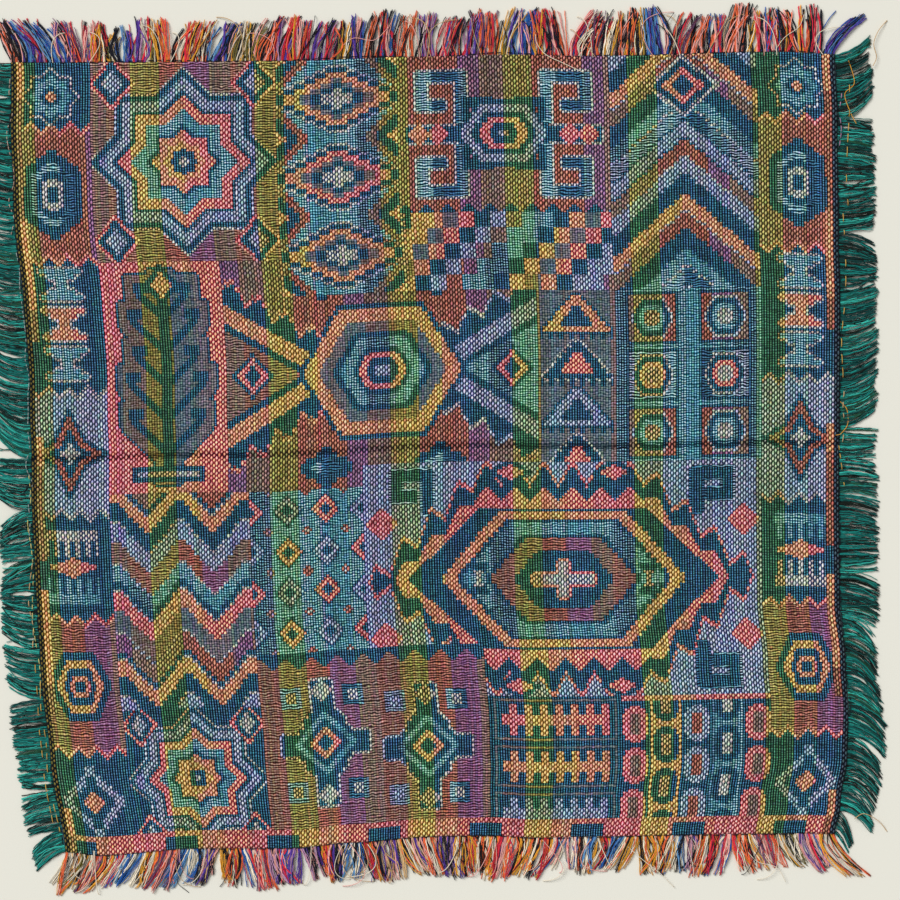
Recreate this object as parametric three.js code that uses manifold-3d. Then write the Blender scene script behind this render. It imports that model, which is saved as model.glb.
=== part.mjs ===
// A square woven table mat with a yarn fringe on each of its four sides, lying flat.
//
// The cloth is one woven piece. Its warp threads run along Y and end as the far and near fringes,
// and its weft threads run along X and end as the left and right fringes. Each fringe is a narrow
// band of bound threads beside the cloth's edge, with flat locks of yarn growing out of it.
// Lengths are in millimetres. X is to the right, Y to the far side and Z up. The origin is the
// middle of the whole outline, on the plane that the underside rests on.

import * as THREE from 'three';
import Module from 'manifold-3d';
import { mergeVertices } from 'three/addons/utils/BufferGeometryUtils.js';

const wasm = await Module();
wasm.setup();

// The cloth's thickness, and how many columns and rows of faces its upper side has.
const CLOTH = { thick: 1.6, columns: 24, rows: 20 };

// The pressed fold across the middle: its place down the cloth as a share, its depth, its half
// width, and the length of the soft swell that the cloth keeps on both sides of it.
const FOLD = { down: 0.5, deep: 0.45, half: 2.5, swell: 0.2, swellLength: 26 };

// The slow unevenness of a cloth that lies unironed: its height and its two wavelengths.
const WAVE = { high: 0.12, across: 118, down: 143 };

// The bound band along each edge: the gap to the cloth, its width and its thickness.
const BAND = { gap: 0.3, wide: 2, thick: 1.4 };

// The locks of yarn: the usual pitch and the share of it that a root fills, the widest root, the
// width of a tip, the heights of root and tip, the flat share of the top, how far a clump draws
// together, how late a lock bends, the least room between tips, and how much every second lock
// is shorter.
const LOCK = {
  pitch: 6.4, fills: 0.84, widest: 5.8, tip: 2.1, rootHigh: 1.3, tipHigh: 0.7,
  flat: 0.6, gather: 0.3, bend: 1.6, apart: 3.4, shorter: 1.1, segments: 3,
};

const COLOURS = { cloth: 0x4d6468, warp: 0x9a6f66, weft: 0x175c52 };

// The four corners of the woven cloth. It has drawn in at the near left while it lay.
const CORNERS = {
  farLeft: [-237, 209],
  farRight: [207.5, 213.5],
  nearRight: [207.5, -207],
  nearLeft: [-207.5, -217],
};

// A short table as a list of rows that know their columns by name.
function table(columns, rows) {
  return rows.map((row) => Object.fromEntries(columns.map((name, i) => [name, row[i]])));
}

// How far each edge bows out from the straight line between its corners: the share of the edge,
// from the left or from the far side, and the distance outwards.
const BOWS = {
  far: table(['along', 'out'], [
    [0, 0], [0.11, -0.5], [0.35, -0.6], [0.47, 0.8], [0.59, 1.6], [0.72, 0.3], [0.93, 1.7], [1, 0],
  ]),
  near: table(['along', 'out'], [
    [0, 0], [0.045, 2.1], [0.17, -0.4], [0.3, 0.7], [0.37, -1.6], [0.48, -3.9], [0.54, -3.7],
    [0.62, -1.8], [0.83, -1.4], [0.95, -0.9], [1, 0],
  ]),
  left: table(['along', 'out'], [
    [0, 0], [0.11, 2.8], [0.2, 3.8], [0.3, 1.9], [0.38, 1.4], [0.47, 3], [0.58, 5.3], [0.68, 6.1],
    [0.78, 6.3], [0.88, 4.5], [1, 0],
  ]),
  right: table(['along', 'out'], [
    [0, 0], [0.08, 1.5], [0.24, 2], [0.32, 2.8], [0.57, 2.3], [0.7, 2.6], [0.78, 5.8],
    [0.84, 7.4], [0.9, 6.8], [0.96, 3.1], [1, 0],
  ]),
};

// The clumps that each fringe has fallen into, in order from the left or from the far side:
// the width of edge that a clump grows from, how far its tips lean along the edge, how far they
// reach out, and how full it is beside a usual one.
const CLUMP = ['width', 'lean', 'reach', 'fill'];
const CLUMPS = {
  far: table(CLUMP, [
    [28, -11, 24, 1], [11, -7, 24, 1], [11, 1, 23, 1], [16, -2, 21, 0.7], [20, 0, 25, 1],
    [20, 7, 23, 1], [26, 6, 22, 1], [29, 5, 25, 1], [15, 6, 23, 1], [15, 2, 24, 1],
    [16, 3, 27, 1], [22, 3, 25, 1], [16, 4, 22, 1], [17, 1, 25, 1], [21, 4, 26, 1],
    [18, -3, 26, 1], [24, 8, 25, 1], [31, 0, 27, 1], [15, 7, 23, 1], [13, 3, 22, 1],
    [12, 6, 28, 1], [13, 1, 24, 1], [17, -3, 24, 1], [12, 0, 27, 1], [7, 17, 22, 1],
  ]),
  near: table(CLUMP, [
    [9, -8, 23, 1], [18, -11, 21, 1], [16, -10, 19, 1], [14, -9, 21, 1], [11, -9, 23, 1],
    [16, -5, 21, 1], [11, 0, 22, 1], [15, 5, 24, 1], [17, 2, 21, 1], [11, 6, 20, 0.7],
    [23, -1, 21, 1], [20, 4, 23, 1], [13, 9, 21, 1], [12, 4, 23, 1], [11, 1, 24, 1],
    [13, 1, 22, 1], [11, -4, 25, 1], [16, -7, 22, 1], [15, -8, 23, 1], [17, -2, 21, 1],
    [7, -3, 22, 1], [15, -9, 20, 1], [25, -1, 22, 1], [8, -1, 23, 1], [17, -6, 23, 1],
    [12, 7, 22, 1], [11, 5, 20, 0.6], [13, 6, 20, 0.7], [11, 9, 22, 1], [9, 17, 25, 1],
  ]),
  left: table(CLUMP, [
    [9, -6, 19, 1], [27, -9, 20, 1], [32, -10, 21, 1], [27, -8, 20, 1], [27, -6, 21, 1],
    [22, -4, 20, 1], [24, -6, 20, 1], [22, -8, 21, 1], [23, -11, 19, 1], [13, -2, 20, 1],
    [14, -7, 20, 1], [13, 10, 19, 1], [14, -1, 20, 1], [12, 8, 19, 1], [13, -4, 20, 1],
    [24, -8, 20, 1], [27, -6, 20, 1], [24, 1, 20, 1], [24, 0, 19, 1], [22, 4, 20, 1],
    [12, 9, 18, 1],
  ]),
  right: table(CLUMP, [
    [6, -11, 20, 1], [13, -8, 20, 1], [15, -10, 20, 1], [17, 2, 20, 1], [14, 5, 21, 1],
    [16, -6, 21, 1], [14, -3, 21, 1], [20, 4, 21, 1], [28, -4, 21, 1], [15, -6, 21, 1],
    [22, -7, 21, 1], [19, -8, 21, 1], [16, 0, 21, 0.7], [19, 2, 22, 1], [22, 4, 22, 1],
    [20, 0, 22, 1], [23, 6, 22, 1], [13, 11, 19, 0.8], [13, 12, 18, 1], [19, 13, 20, 1],
    [19, 12, 21, 1], [22, 13, 19, 1], [18, 12, 18, 1], [12, 13, 9, 0.6],
  ]),
};

const mix = (a, b, share) => a + (b - a) * share;

// An edge of the cloth: its two corners, the unit directions along it and out of it, and a
// function that gives how far it bows out at a share of its length.
function makeEdge(side, startCorner, endCorner, outTurn) {
  const start = new THREE.Vector2(...CORNERS[startCorner]);
  const end = new THREE.Vector2(...CORNERS[endCorner]);
  const along = end.clone().sub(start);
  const length = along.length();
  along.normalize();
  const out = new THREE.Vector2(-along.y, along.x).multiplyScalar(outTurn);
  const rows = BOWS[side];
  const bow = (share) => {
    const next = Math.max(1, rows.findIndex((row) => row.along >= share));
    const [a, b] = [rows[next - 1], rows[next]];
    const part = (share - a.along) / (b.along - a.along);
    return mix(a.out, b.out, (1 - Math.cos(Math.PI * part)) / 2);
  };
  const place = (distance, outwards) => start.clone()
    .addScaledVector(along, distance)
    .addScaledVector(out, outwards);
  const point = (share) => place(share * length, bow(share));
  return { side, length, bow, place, point };
}

const EDGES = {
  far: makeEdge('far', 'farLeft', 'farRight', 1),
  near: makeEdge('near', 'nearLeft', 'nearRight', -1),
  left: makeEdge('left', 'farLeft', 'nearLeft', -1),
  right: makeEdge('right', 'farRight', 'nearRight', 1),
};

// A point of the cloth, by its share across from the left and its share down from the far side.
// The four edges are blended, so the threads follow them.
function clothPoint(across, down) {
  const edges = new THREE.Vector2()
    .addScaledVector(EDGES.far.point(across), 1 - down)
    .addScaledVector(EDGES.near.point(across), down)
    .addScaledVector(EDGES.left.point(down), 1 - across)
    .addScaledVector(EDGES.right.point(down), across);
  const corners = new THREE.Vector2()
    .addScaledVector(EDGES.far.point(0), (1 - across) * (1 - down))
    .addScaledVector(EDGES.far.point(1), across * (1 - down))
    .addScaledVector(EDGES.near.point(0), (1 - across) * down)
    .addScaledVector(EDGES.near.point(1), across * down);
  return edges.sub(corners);
}

// The height of the cloth's upper side: its thickness, a slow unevenness, and the pressed fold
// with the swell beside it.
function clothHeight(point, down) {
  const fromFold = (down - FOLD.down) * EDGES.left.length;
  const fold = FOLD.deep * Math.max(0, 1 - Math.abs(fromFold) / FOLD.half);
  const swell = FOLD.swell * Math.exp(-((fromFold / FOLD.swellLength) ** 2));
  const turn = 2 * Math.PI;
  const wave = WAVE.high * Math.sin(turn * point.x / WAVE.across) * Math.cos(turn * point.y / WAVE.down);
  return CLOTH.thick + wave + swell - fold;
}

const evenShares = (count) => Array.from({ length: count + 1 }, (_, i) => i / count);

// The shares at which the cloth has rows of points: evenly spaced, and three at the fold.
function clothRows() {
  const half = FOLD.half / EDGES.left.length;
  const apart = evenShares(CLOTH.rows).filter((share) => Math.abs(share - FOLD.down) > 2 * half);
  return [...apart, FOLD.down - half, FOLD.down, FOLD.down + half].sort((a, b) => a - b);
}

// The shares at which each edge of the cloth has a point, so that the bands follow it exactly.
const STATIONS = {
  far: evenShares(CLOTH.columns),
  near: evenShares(CLOTH.columns),
  left: clothRows(),
  right: clothRows(),
};

function geometryFrom(positions, indices) {
  const geometry = new THREE.BufferGeometry();
  geometry.setAttribute('position', new THREE.Float32BufferAttribute(positions.flat(), 3));
  geometry.setIndex(indices.flat());
  return geometry;
}

// The woven cloth: a grid of faces on its upper side, a thin wall round the edge and a flat
// underside.
function clothGeometry() {
  const rows = STATIONS.left;
  const positions = [];
  const faces = [];
  const top = rows.map((down) => STATIONS.far.map((share) => {
    const point = clothPoint(share, down);
    positions.push([point.x, point.y, clothHeight(point, down)]);
    return positions.length - 1;
  }));
  for (let row = 0; row + 1 < rows.length; row += 1) {
    for (let column = 0; column < CLOTH.columns; column += 1) {
      const [a, b] = [top[row][column], top[row][column + 1]];
      const [c, d] = [top[row + 1][column + 1], top[row + 1][column]];
      faces.push([a, d, c], [a, c, b]);
    }
  }
  const last = rows.length - 1;
  const rim = [
    ...top.map((row) => row[0]),
    ...top[last].slice(1),
    ...top.slice(0, last).reverse().map((row) => row[CLOTH.columns]),
    ...top[0].slice(1, CLOTH.columns).reverse(),
  ];
  const foot = rim.map((index) => {
    positions.push([positions[index][0], positions[index][1], 0]);
    return positions.length - 1;
  });
  rim.forEach((index, i) => {
    const next = (i + 1) % rim.length;
    faces.push([index, foot[i], foot[next]], [index, foot[next], rim[next]]);
  });
  const outline = foot.map((index) => new THREE.Vector2(...positions[index]));
  const under = THREE.ShapeUtils.triangulateShape(outline, []);
  under.forEach(([a, b, c]) => faces.push([foot[a], foot[c], foot[b]]));
  return geometryFrom(positions, faces);
}

// A closed body through rings of points that all have the same number of points.
function bodyThrough(rings) {
  const size = rings[0].length;
  const positions = rings.flat();
  const faces = [];
  for (let ring = 0; ring + 1 < rings.length; ring += 1) {
    for (let i = 0; i < size; i += 1) {
      const next = (i + 1) % size;
      const [a, b] = [ring * size + i, ring * size + next];
      faces.push([a, b, b + size], [a, b + size, a + size]);
    }
  }
  const end = (rings.length - 1) * size;
  for (let i = 1; i + 1 < size; i += 1) {
    faces.push([0, i + 1, i], [end, end + i, end + i + 1]);
  }
  return geometryFrom(positions, faces);
}

// A solid for joining, turned the right way out.
function solidFrom(geometry) {
  const merged = mergeVertices(geometry);
  const build = (triangles) => new wasm.Manifold(new wasm.Mesh({
    numProp: 3,
    vertProperties: new Float32Array(merged.attributes.position.array),
    triVerts: new Uint32Array(triangles),
  }));
  const forwards = build(merged.index.array);
  if (forwards.volume() > 0) return forwards;
  return build(Array.from(merged.index.array).reverse());
}

function geometryOf(solid) {
  const mesh = solid.getMesh();
  const geometry = new THREE.BufferGeometry();
  geometry.setAttribute('position', new THREE.BufferAttribute(mesh.vertProperties, 3));
  geometry.setIndex(new THREE.BufferAttribute(mesh.triVerts, 1));
  return geometry;
}

// The bound band beside an edge, parted from the cloth by a hair's gap.
function bandGeometry(edge) {
  const rings = STATIONS[edge.side].map((share) => {
    const inside = edge.place(share * edge.length, edge.bow(share) + BAND.gap);
    const outside = edge.place(share * edge.length, edge.bow(share) + BAND.gap + BAND.wide);
    return [
      [inside.x, inside.y, 0],
      [outside.x, outside.y, 0],
      [outside.x, outside.y, BAND.thick],
      [inside.x, inside.y, BAND.thick],
    ];
  });
  return bodyThrough(rings);
}

// One flat lock of yarn, lying on the table: it leaves the band squarely and bends to its tip.
function lockGeometry(edge, lock) {
  const corner = (share, side, z) => {
    const middle = mix(lock.root, lock.tip, share ** LOCK.bend);
    const half = mix(lock.wide, LOCK.tip, share) / 2;
    const bow = edge.bow((lock.root + side * lock.wide / 2) / edge.length);
    const outwards = bow + BAND.gap + mix(BAND.wide / 2, lock.reach, share);
    const point = edge.place(middle + side * half, outwards);
    return [point.x, point.y, z];
  };
  const rings = evenShares(LOCK.segments).map((share) => {
    const high = mix(LOCK.rootHigh, LOCK.tipHigh, share);
    return [
      corner(share, -1, 0),
      corner(share, 1, 0),
      corner(share, LOCK.flat, high),
      corner(share, -LOCK.flat, high),
    ];
  });
  return bodyThrough(rings);
}

// The locks of an edge in order: where each is rooted and ends along the edge, how wide its root
// is and how far it reaches out.
function locksOf(edge) {
  const clumps = CLUMPS[edge.side];
  const stretch = edge.length / clumps.reduce((sum, clump) => sum + clump.width, 0);
  let from = 0;
  return clumps.flatMap((clump, order) => {
    const wide = clump.width * stretch;
    const middle = from + wide / 2;
    const count = Math.max(1, Math.round(wide * clump.fill / LOCK.pitch));
    const roots = Array.from({ length: count }, (_, i) => from + wide * (i + 0.5) / count);
    from += wide;
    return roots.map((root, i) => ({
      root,
      tip: mix(root, middle, LOCK.gather) + clump.lean,
      wide: Math.min(LOCK.widest, LOCK.fills * wide / count),
      reach: clump.reach - LOCK.shorter * ((i + order) % 2),
    }));
  });
}

// Moves tips that would cross or touch apart, half of the way by the locks on either side.
function partTips(locks) {
  const onwards = [];
  locks.forEach(({ tip }, i) => {
    onwards[i] = i === 0 ? tip : Math.max(tip, onwards[i - 1] + LOCK.apart);
  });
  const backwards = [];
  locks.toReversed().forEach(({ tip }, i) => {
    backwards[i] = i === 0 ? tip : Math.min(tip, backwards[i - 1] - LOCK.apart);
  });
  backwards.reverse();
  return locks.map((lock, i) => ({ ...lock, tip: (onwards[i] + backwards[i]) / 2 }));
}

// A whole fringe: the band with its locks joined to it at their roots.
function fringeGeometry(edge) {
  const band = solidFrom(bandGeometry(edge));
  const locks = partTips(locksOf(edge)).map((lock) => solidFrom(lockGeometry(edge, lock)));
  return geometryOf(locks.reduce((joined, lock) => joined.add(lock), band));
}

function yarn(color) {
  return new THREE.MeshStandardMaterial({ color, roughness: 0.9, metalness: 0 });
}

const mat = new THREE.Group();

function addPiece(name, geometry, color) {
  const mesh = new THREE.Mesh(geometry, yarn(color));
  mesh.name = name;
  mat.add(mesh);
}

addPiece('woven_cloth', clothGeometry(), COLOURS.cloth);
addPiece('warp_fringe_far', fringeGeometry(EDGES.far), COLOURS.warp);
addPiece('warp_fringe_near', fringeGeometry(EDGES.near), COLOURS.warp);
addPiece('weft_fringe_left', fringeGeometry(EDGES.left), COLOURS.weft);
addPiece('weft_fringe_right', fringeGeometry(EDGES.right), COLOURS.weft);

const outline = new THREE.Box3().setFromObject(mat);
const centre = outline.getCenter(new THREE.Vector3());
mat.position.set(-centre.x, -centre.y, -outline.min.z);

const group = new THREE.Group();
group.add(mat);

export default group;
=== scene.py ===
"""A square figured table mat with a yarn fringe on each of its four sides, laid flat.

The sizes are in millimetres and become metres when a mesh is made. X runs along the weft threads to
the right, Y along the warp threads to the far side, and Z up out of the mat.
"""

import math

import bpy
import numpy as np
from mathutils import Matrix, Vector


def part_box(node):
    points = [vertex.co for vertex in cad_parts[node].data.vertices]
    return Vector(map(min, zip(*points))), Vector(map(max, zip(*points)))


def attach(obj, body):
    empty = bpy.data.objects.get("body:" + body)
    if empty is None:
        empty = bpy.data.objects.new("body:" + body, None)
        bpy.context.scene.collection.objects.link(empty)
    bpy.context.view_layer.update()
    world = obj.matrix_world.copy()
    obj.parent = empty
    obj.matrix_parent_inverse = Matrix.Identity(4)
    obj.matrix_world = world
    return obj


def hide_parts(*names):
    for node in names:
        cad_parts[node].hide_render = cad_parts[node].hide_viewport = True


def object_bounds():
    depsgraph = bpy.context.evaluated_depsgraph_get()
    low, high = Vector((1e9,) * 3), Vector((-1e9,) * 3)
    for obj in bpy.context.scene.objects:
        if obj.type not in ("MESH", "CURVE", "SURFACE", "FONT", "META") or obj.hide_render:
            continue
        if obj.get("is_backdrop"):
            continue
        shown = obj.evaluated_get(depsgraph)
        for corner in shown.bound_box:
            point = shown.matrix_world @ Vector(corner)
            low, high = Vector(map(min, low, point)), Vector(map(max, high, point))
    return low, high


bl_info = {
    "name": "Woven Fringed Table Mat",
    "version": (1, 0, 0),
    "blender": (4, 5, 0),
    "location": "View3D > Sidebar > Table Mat",
    "description": "Makes a figured table mat, its four fringes, its loose threads and a plain stage",
    "category": "Add Mesh",
}

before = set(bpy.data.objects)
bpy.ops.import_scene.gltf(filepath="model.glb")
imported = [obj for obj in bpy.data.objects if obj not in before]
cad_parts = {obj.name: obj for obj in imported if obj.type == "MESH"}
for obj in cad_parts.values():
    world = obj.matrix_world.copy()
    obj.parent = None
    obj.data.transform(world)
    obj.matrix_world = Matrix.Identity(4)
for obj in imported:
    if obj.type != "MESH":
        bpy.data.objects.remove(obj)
CAD_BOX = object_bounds()

MM = 0.001
TURN = 2 * math.pi
CLOTH_SEED, THREAD_SEED = 11, 5

# The four corners of the cloth, and how far each edge bows out from the straight line between them:
# the share of the edge from the left or from the far side, and the distance outwards.
CORNERS = {
    "far_left": (-237, 209),
    "far_right": (207.5, 213.5),
    "near_right": (207.5, -207),
    "near_left": (-207.5, -217),
}
BOWS = {
    "far": (
        (0, 0), (0.11, -0.5), (0.35, -0.6), (0.47, 0.8), (0.59, 1.6), (0.72, 0.3), (0.93, 1.7), (1, 0),
    ),
    "near": (
        (0, 0), (0.045, 2.1), (0.17, -0.4), (0.3, 0.7), (0.37, -1.6), (0.48, -3.9), (0.54, -3.7),
        (0.62, -1.8), (0.83, -1.4), (0.95, -0.9), (1, 0),
    ),
    "left": (
        (0, 0), (0.11, 2.8), (0.2, 3.8), (0.3, 1.9), (0.38, 1.4), (0.47, 3), (0.58, 5.3), (0.68, 6.1),
        (0.78, 6.3), (0.88, 4.5), (1, 0),
    ),
    "right": (
        (0, 0), (0.08, 1.5), (0.24, 2), (0.32, 2.8), (0.57, 2.3), (0.7, 2.6), (0.78, 5.8),
        (0.84, 7.4), (0.9, 6.8), (0.96, 3.1), (1, 0),
    ),
}

# The clumps of each fringe, from the left or from the far side: the width of edge that a clump
# grows from, how far its tips lean along the edge, how far they reach out, and how full it is.
CLUMPS = {
    "far": (
        (28, -11, 24, 1), (11, -7, 24, 1), (11, 1, 23, 1), (16, -2, 21, 0.7), (20, 0, 25, 1),
        (20, 7, 23, 1), (26, 6, 22, 1), (29, 5, 25, 1), (15, 6, 23, 1), (15, 2, 24, 1),
        (16, 3, 27, 1), (22, 3, 25, 1), (16, 4, 22, 1), (17, 1, 25, 1), (21, 4, 26, 1),
        (18, -3, 26, 1), (24, 8, 25, 1), (31, 0, 27, 1), (15, 7, 23, 1), (13, 3, 22, 1),
        (12, 6, 28, 1), (13, 1, 24, 1), (17, -3, 24, 1), (12, 0, 27, 1), (7, 17, 22, 1),
    ),
    "near": (
        (9, -8, 23, 1), (18, -11, 21, 1), (16, -10, 19, 1), (14, -9, 21, 1), (11, -9, 23, 1),
        (16, -5, 21, 1), (11, 0, 22, 1), (15, 5, 24, 1), (17, 2, 21, 1), (11, 6, 20, 0.7),
        (23, -1, 21, 1), (20, 4, 23, 1), (13, 9, 21, 1), (12, 4, 23, 1), (11, 1, 24, 1),
        (13, 1, 22, 1), (11, -4, 25, 1), (16, -7, 22, 1), (15, -8, 23, 1), (17, -2, 21, 1),
        (7, -3, 22, 1), (15, -9, 20, 1), (25, -1, 22, 1), (8, -1, 23, 1), (17, -6, 23, 1),
        (12, 7, 22, 1), (11, 5, 20, 0.6), (13, 6, 20, 0.7), (11, 9, 22, 1), (9, 17, 25, 1),
    ),
    "left": (
        (9, -6, 19, 1), (27, -9, 20, 1), (32, -10, 21, 1), (27, -8, 20, 1), (27, -6, 21, 1),
        (22, -4, 20, 1), (24, -6, 20, 1), (22, -8, 21, 1), (23, -11, 19, 1), (13, -2, 20, 1),
        (14, -7, 20, 1), (13, 10, 19, 1), (14, -1, 20, 1), (12, 8, 19, 1), (13, -4, 20, 1),
        (24, -8, 20, 1), (27, -6, 20, 1), (24, 1, 20, 1), (24, 0, 19, 1), (22, 4, 20, 1),
        (12, 9, 18, 1),
    ),
    "right": (
        (6, -11, 20, 1), (13, -8, 20, 1), (15, -10, 20, 1), (17, 2, 20, 1), (14, 5, 21, 1),
        (16, -6, 21, 1), (14, -3, 21, 1), (20, 4, 21, 1), (28, -4, 21, 1), (15, -6, 21, 1),
        (22, -7, 21, 1), (19, -8, 21, 1), (16, 0, 21, 0.7), (19, 2, 22, 1), (22, 4, 22, 1),
        (20, 0, 22, 1), (23, 6, 22, 1), (13, 11, 19, 0.8), (13, 12, 18, 1), (19, 13, 20, 1),
        (19, 12, 21, 1), (22, 13, 19, 1), (18, 12, 18, 1), (12, 13, 9, 0.6),
    ),
}

# The cloth's thickness, its slow unevenness and the two pressed fold marks: the share of the way
# down or across, how deep the mark is, and how far the cloth swells up beside it. Then the half
# width of a mark and the length of its swell, how far each mark parts the yarn, and over how many
# rows or columns. Parting the yarn also darkens the crease with the dark dye of the gaps, which is
# painted shade in the crease.
THICK = 1.6
WAVE_HIGH, WAVE_LENGTHS = 0.12, (118, 143)
FOLD_DOWN, FOLD_ACROSS = (0.5, 0.85, 0.22), (0.555, 0.25, 0.06)
FOLD_HALF, SWELL_LENGTH = 2.1, 26
FOLD_GAPS_AND_SHADE, FOLD_ROWS = (0.34, 0.12), 0.9

# The plan of the weave has this many rows and columns of cells, and the plain underside has one
# face for a block of them.
ROWS, COLUMNS = 300, 312
BLOCK_ROWS, BLOCK_COLUMNS = 15, 13

# The pull between the threads: the size of its features in cells and their share of the pucker.
# It fades out at the edges, over one part in so many of the cloth.
PULLS, PULL_FADE = ((9, 1), (3, 0.6)), 60

# The colours of the yarns, in sRGB. In the weave the near-black ones are painted shade in the gaps
# between the threads, and the pale float dyes are partly the floats' own yarn and partly painted
# highlights.
DYES = {
    "pitch": "#010714",
    "midnight": "#073951",
    "ocean": "#529ab6",
    "indigo": "#0d3453",
    "denim": "#5694b8",
    "bottle": "#06150d",
    "fir": "#1b4c36",
    "leaf": "#5b9a75",
    "deep_sea": "#05212e",
    "teal": "#147288",
    "ice": "#d2f4f6",
    "lagoon": "#9fcfe0",
    "jade_dark": "#0a3222",
    "jade_mid": "#3e8562",
    "mint": "#c2ecd2",
    "wine": "#2c0a13",
    "rose": "#cc4a55",
    "blush": "#ffb8b4",
    "umber": "#1f0e0d",
    "clay": "#c87450",
    "peach": "#ffc6a4",
    "bark": "#1f1507",
    "ochre": "#bd8c3a",
    "straw": "#f7d790",
    "night_lilac": "#0b1729",
    "lilac": "#627295",
    "pearl": "#d2dcf4",
    "mist": "#5b7c92",
    "frost": "#cde4f2",
    "iris": "#5a66a0",
    "haze_blue": "#d0daf6",
    "sage": "#5c7054",
    "celadon": "#ccdcb6",
    "rust": "#87483a",
    "brick": "#d48f7c",
    "plum": "#6c4266",
    "mauve": "#b488aa",
    "taupe": "#6b5750",
    "sand": "#b99c8c",
    "olive": "#756a30",
    "moss": "#cabd72",
    "slate": "#4f5f68",
    "dove": "#96a0a2",
    "ash": "#5e5a62",
    "fog": "#a39a9f",
    "cream": "#f0e7d4",
    "dull_cream": "#9aa3a0",
    "crimson": "#d8283f",
    "tangerine": "#ee6a3c",
    "marigold": "#e2a02e",
    "royal": "#1f5aa8",
    "violet": "#57389a",
    "ink": "#0b0d1c",
    "ivory": "#efe2ca",
    "shell": "#efaaa0",
    "steel": "#5f94c4",
    "spruce": "#023d3b",
    "jade": "#0b7d75",
    "sea_green": "#2fa899",
    "tan": "#cda877",
    "old_gold": "#c9a04a",
}

# The warp is dyed in stripes, which repeat across the cloth: the name and the width in cells.
STRIPES = (("leaf", 11), ("sea", 9), ("iris", 10), ("blue", 8), ("plum", 9))
FIRST_STRIPE = -2

# How each kind of weave shows in each stripe, as the dyes of its gaps, its body and its high floats.
# The near-black dyes of the gaps are painted shade between the threads, and the pale dyes of the
# floats are partly the floats' own yarn and partly painted highlights on the tops of the threads.
WEAVES = {
    "night": {
        "leaf": "bottle fir leaf", "sea": "pitch midnight ocean", "iris": "pitch indigo denim",
        "blue": "pitch midnight ocean", "plum": "pitch indigo denim",
    },
    "water": {
        "leaf": "jade_dark jade_mid mint", "sea": "deep_sea teal ice", "iris": "deep_sea teal lagoon",
        "blue": "deep_sea teal ice", "plum": "pitch midnight lagoon",
    },
    "bright": {
        "leaf": "bark ochre straw", "sea": "umber clay peach", "iris": "wine rose peach",
        "blue": "wine rose blush", "plum": "wine rose blush",
    },
    "amber": {
        "leaf": "bark ochre straw", "sea": "bark ochre straw", "iris": "umber clay peach",
        "blue": "umber clay peach", "plum": "umber clay peach",
    },
    "lilac": {
        "leaf": "bottle sage celadon", "sea": "deep_sea mist frost", "iris": "night_lilac lilac pearl",
        "blue": "night_lilac iris haze_blue", "plum": "night_lilac lilac pearl",
    },
    "earth": {
        "leaf": "bark olive moss", "sea": "umber rust brick", "iris": "umber rust brick",
        "blue": "night_lilac plum mauve", "plum": "umber taupe sand",
    },
    "haze": {
        "leaf": "bark olive moss", "sea": "deep_sea slate dove", "iris": "night_lilac ash fog",
        "blue": "deep_sea slate dove", "plum": "umber taupe fog",
    },
    "bars": {
        "leaf": "bark olive moss", "sea": "umber rust brick", "iris": "wine plum mauve",
        "blue": "umber taupe sand", "plum": "umber rust sand",
    },
    "stream": {
        "leaf": "bottle fir mint", "sea": "pitch teal ice", "iris": "pitch indigo denim",
        "blue": "pitch midnight lagoon", "plum": "pitch indigo haze_blue",
    },
    "light": {
        "leaf": "bottle olive straw", "sea": "pitch dull_cream cream", "iris": "pitch lilac cream",
        "blue": "pitch dull_cream cream", "plum": "pitch lilac pearl",
    },
    "warm": {
        "leaf": "bark ochre straw", "sea": "umber clay peach", "iris": "wine rose blush",
        "blue": "wine rose peach", "plum": "wine rose blush",
    },
    "rim": {
        "leaf": "pitch bottle olive", "sea": "pitch ink slate", "iris": "pitch ink slate",
        "blue": "pitch ink slate", "plum": "pitch ink slate",
    },
}
KINDS = tuple(WEAVES)

# How unevenly the yarn took its dye: from warp to warp, from weft to weft, from cell to cell, and
# softly over the cloth in patches of some cells. The tint is each colour channel's own.
SHADE_WARP, SHADE_WEFT, SHADE_CELL, SHADE_SOFT, SOFT_CELLS = 0.1, 0.07, 0.18, 0.09, 24
TINT_WARP, TINT_CELL = 0.07, 0.08
SHADES, TINTS = (0.5, 1.6), (0.6, 1.4)

# How high the yarn shows at a place in a cell, as shares of four parts: a wave across the cell, a
# wave down it, long floats in half-offset columns, and a plain level.
RELIEFS = {
    "rib": (0.58, 0.22, 0.0, 0.30),
    "bars": (0.12, 0.46, 0.0, 0.41),
    "dots": (0.38, 0.38, 0.0, 0.36),
    "grains": (0.26, 0.24, 0.10, 0.42),
    "floats": (0.58, 0.0, 0.50, 0.36),
    "close_floats": (0.40, 0.0, 0.46, 0.44),
}
STRUCTURES = {
    "night": "rib", "water": "dots", "bright": "close_floats", "amber": "close_floats",
    "lilac": "floats", "earth": "floats", "haze": "grains", "bars": "bars", "stream": "bars",
    "light": "floats", "warm": "close_floats", "rim": "floats",
}

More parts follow.
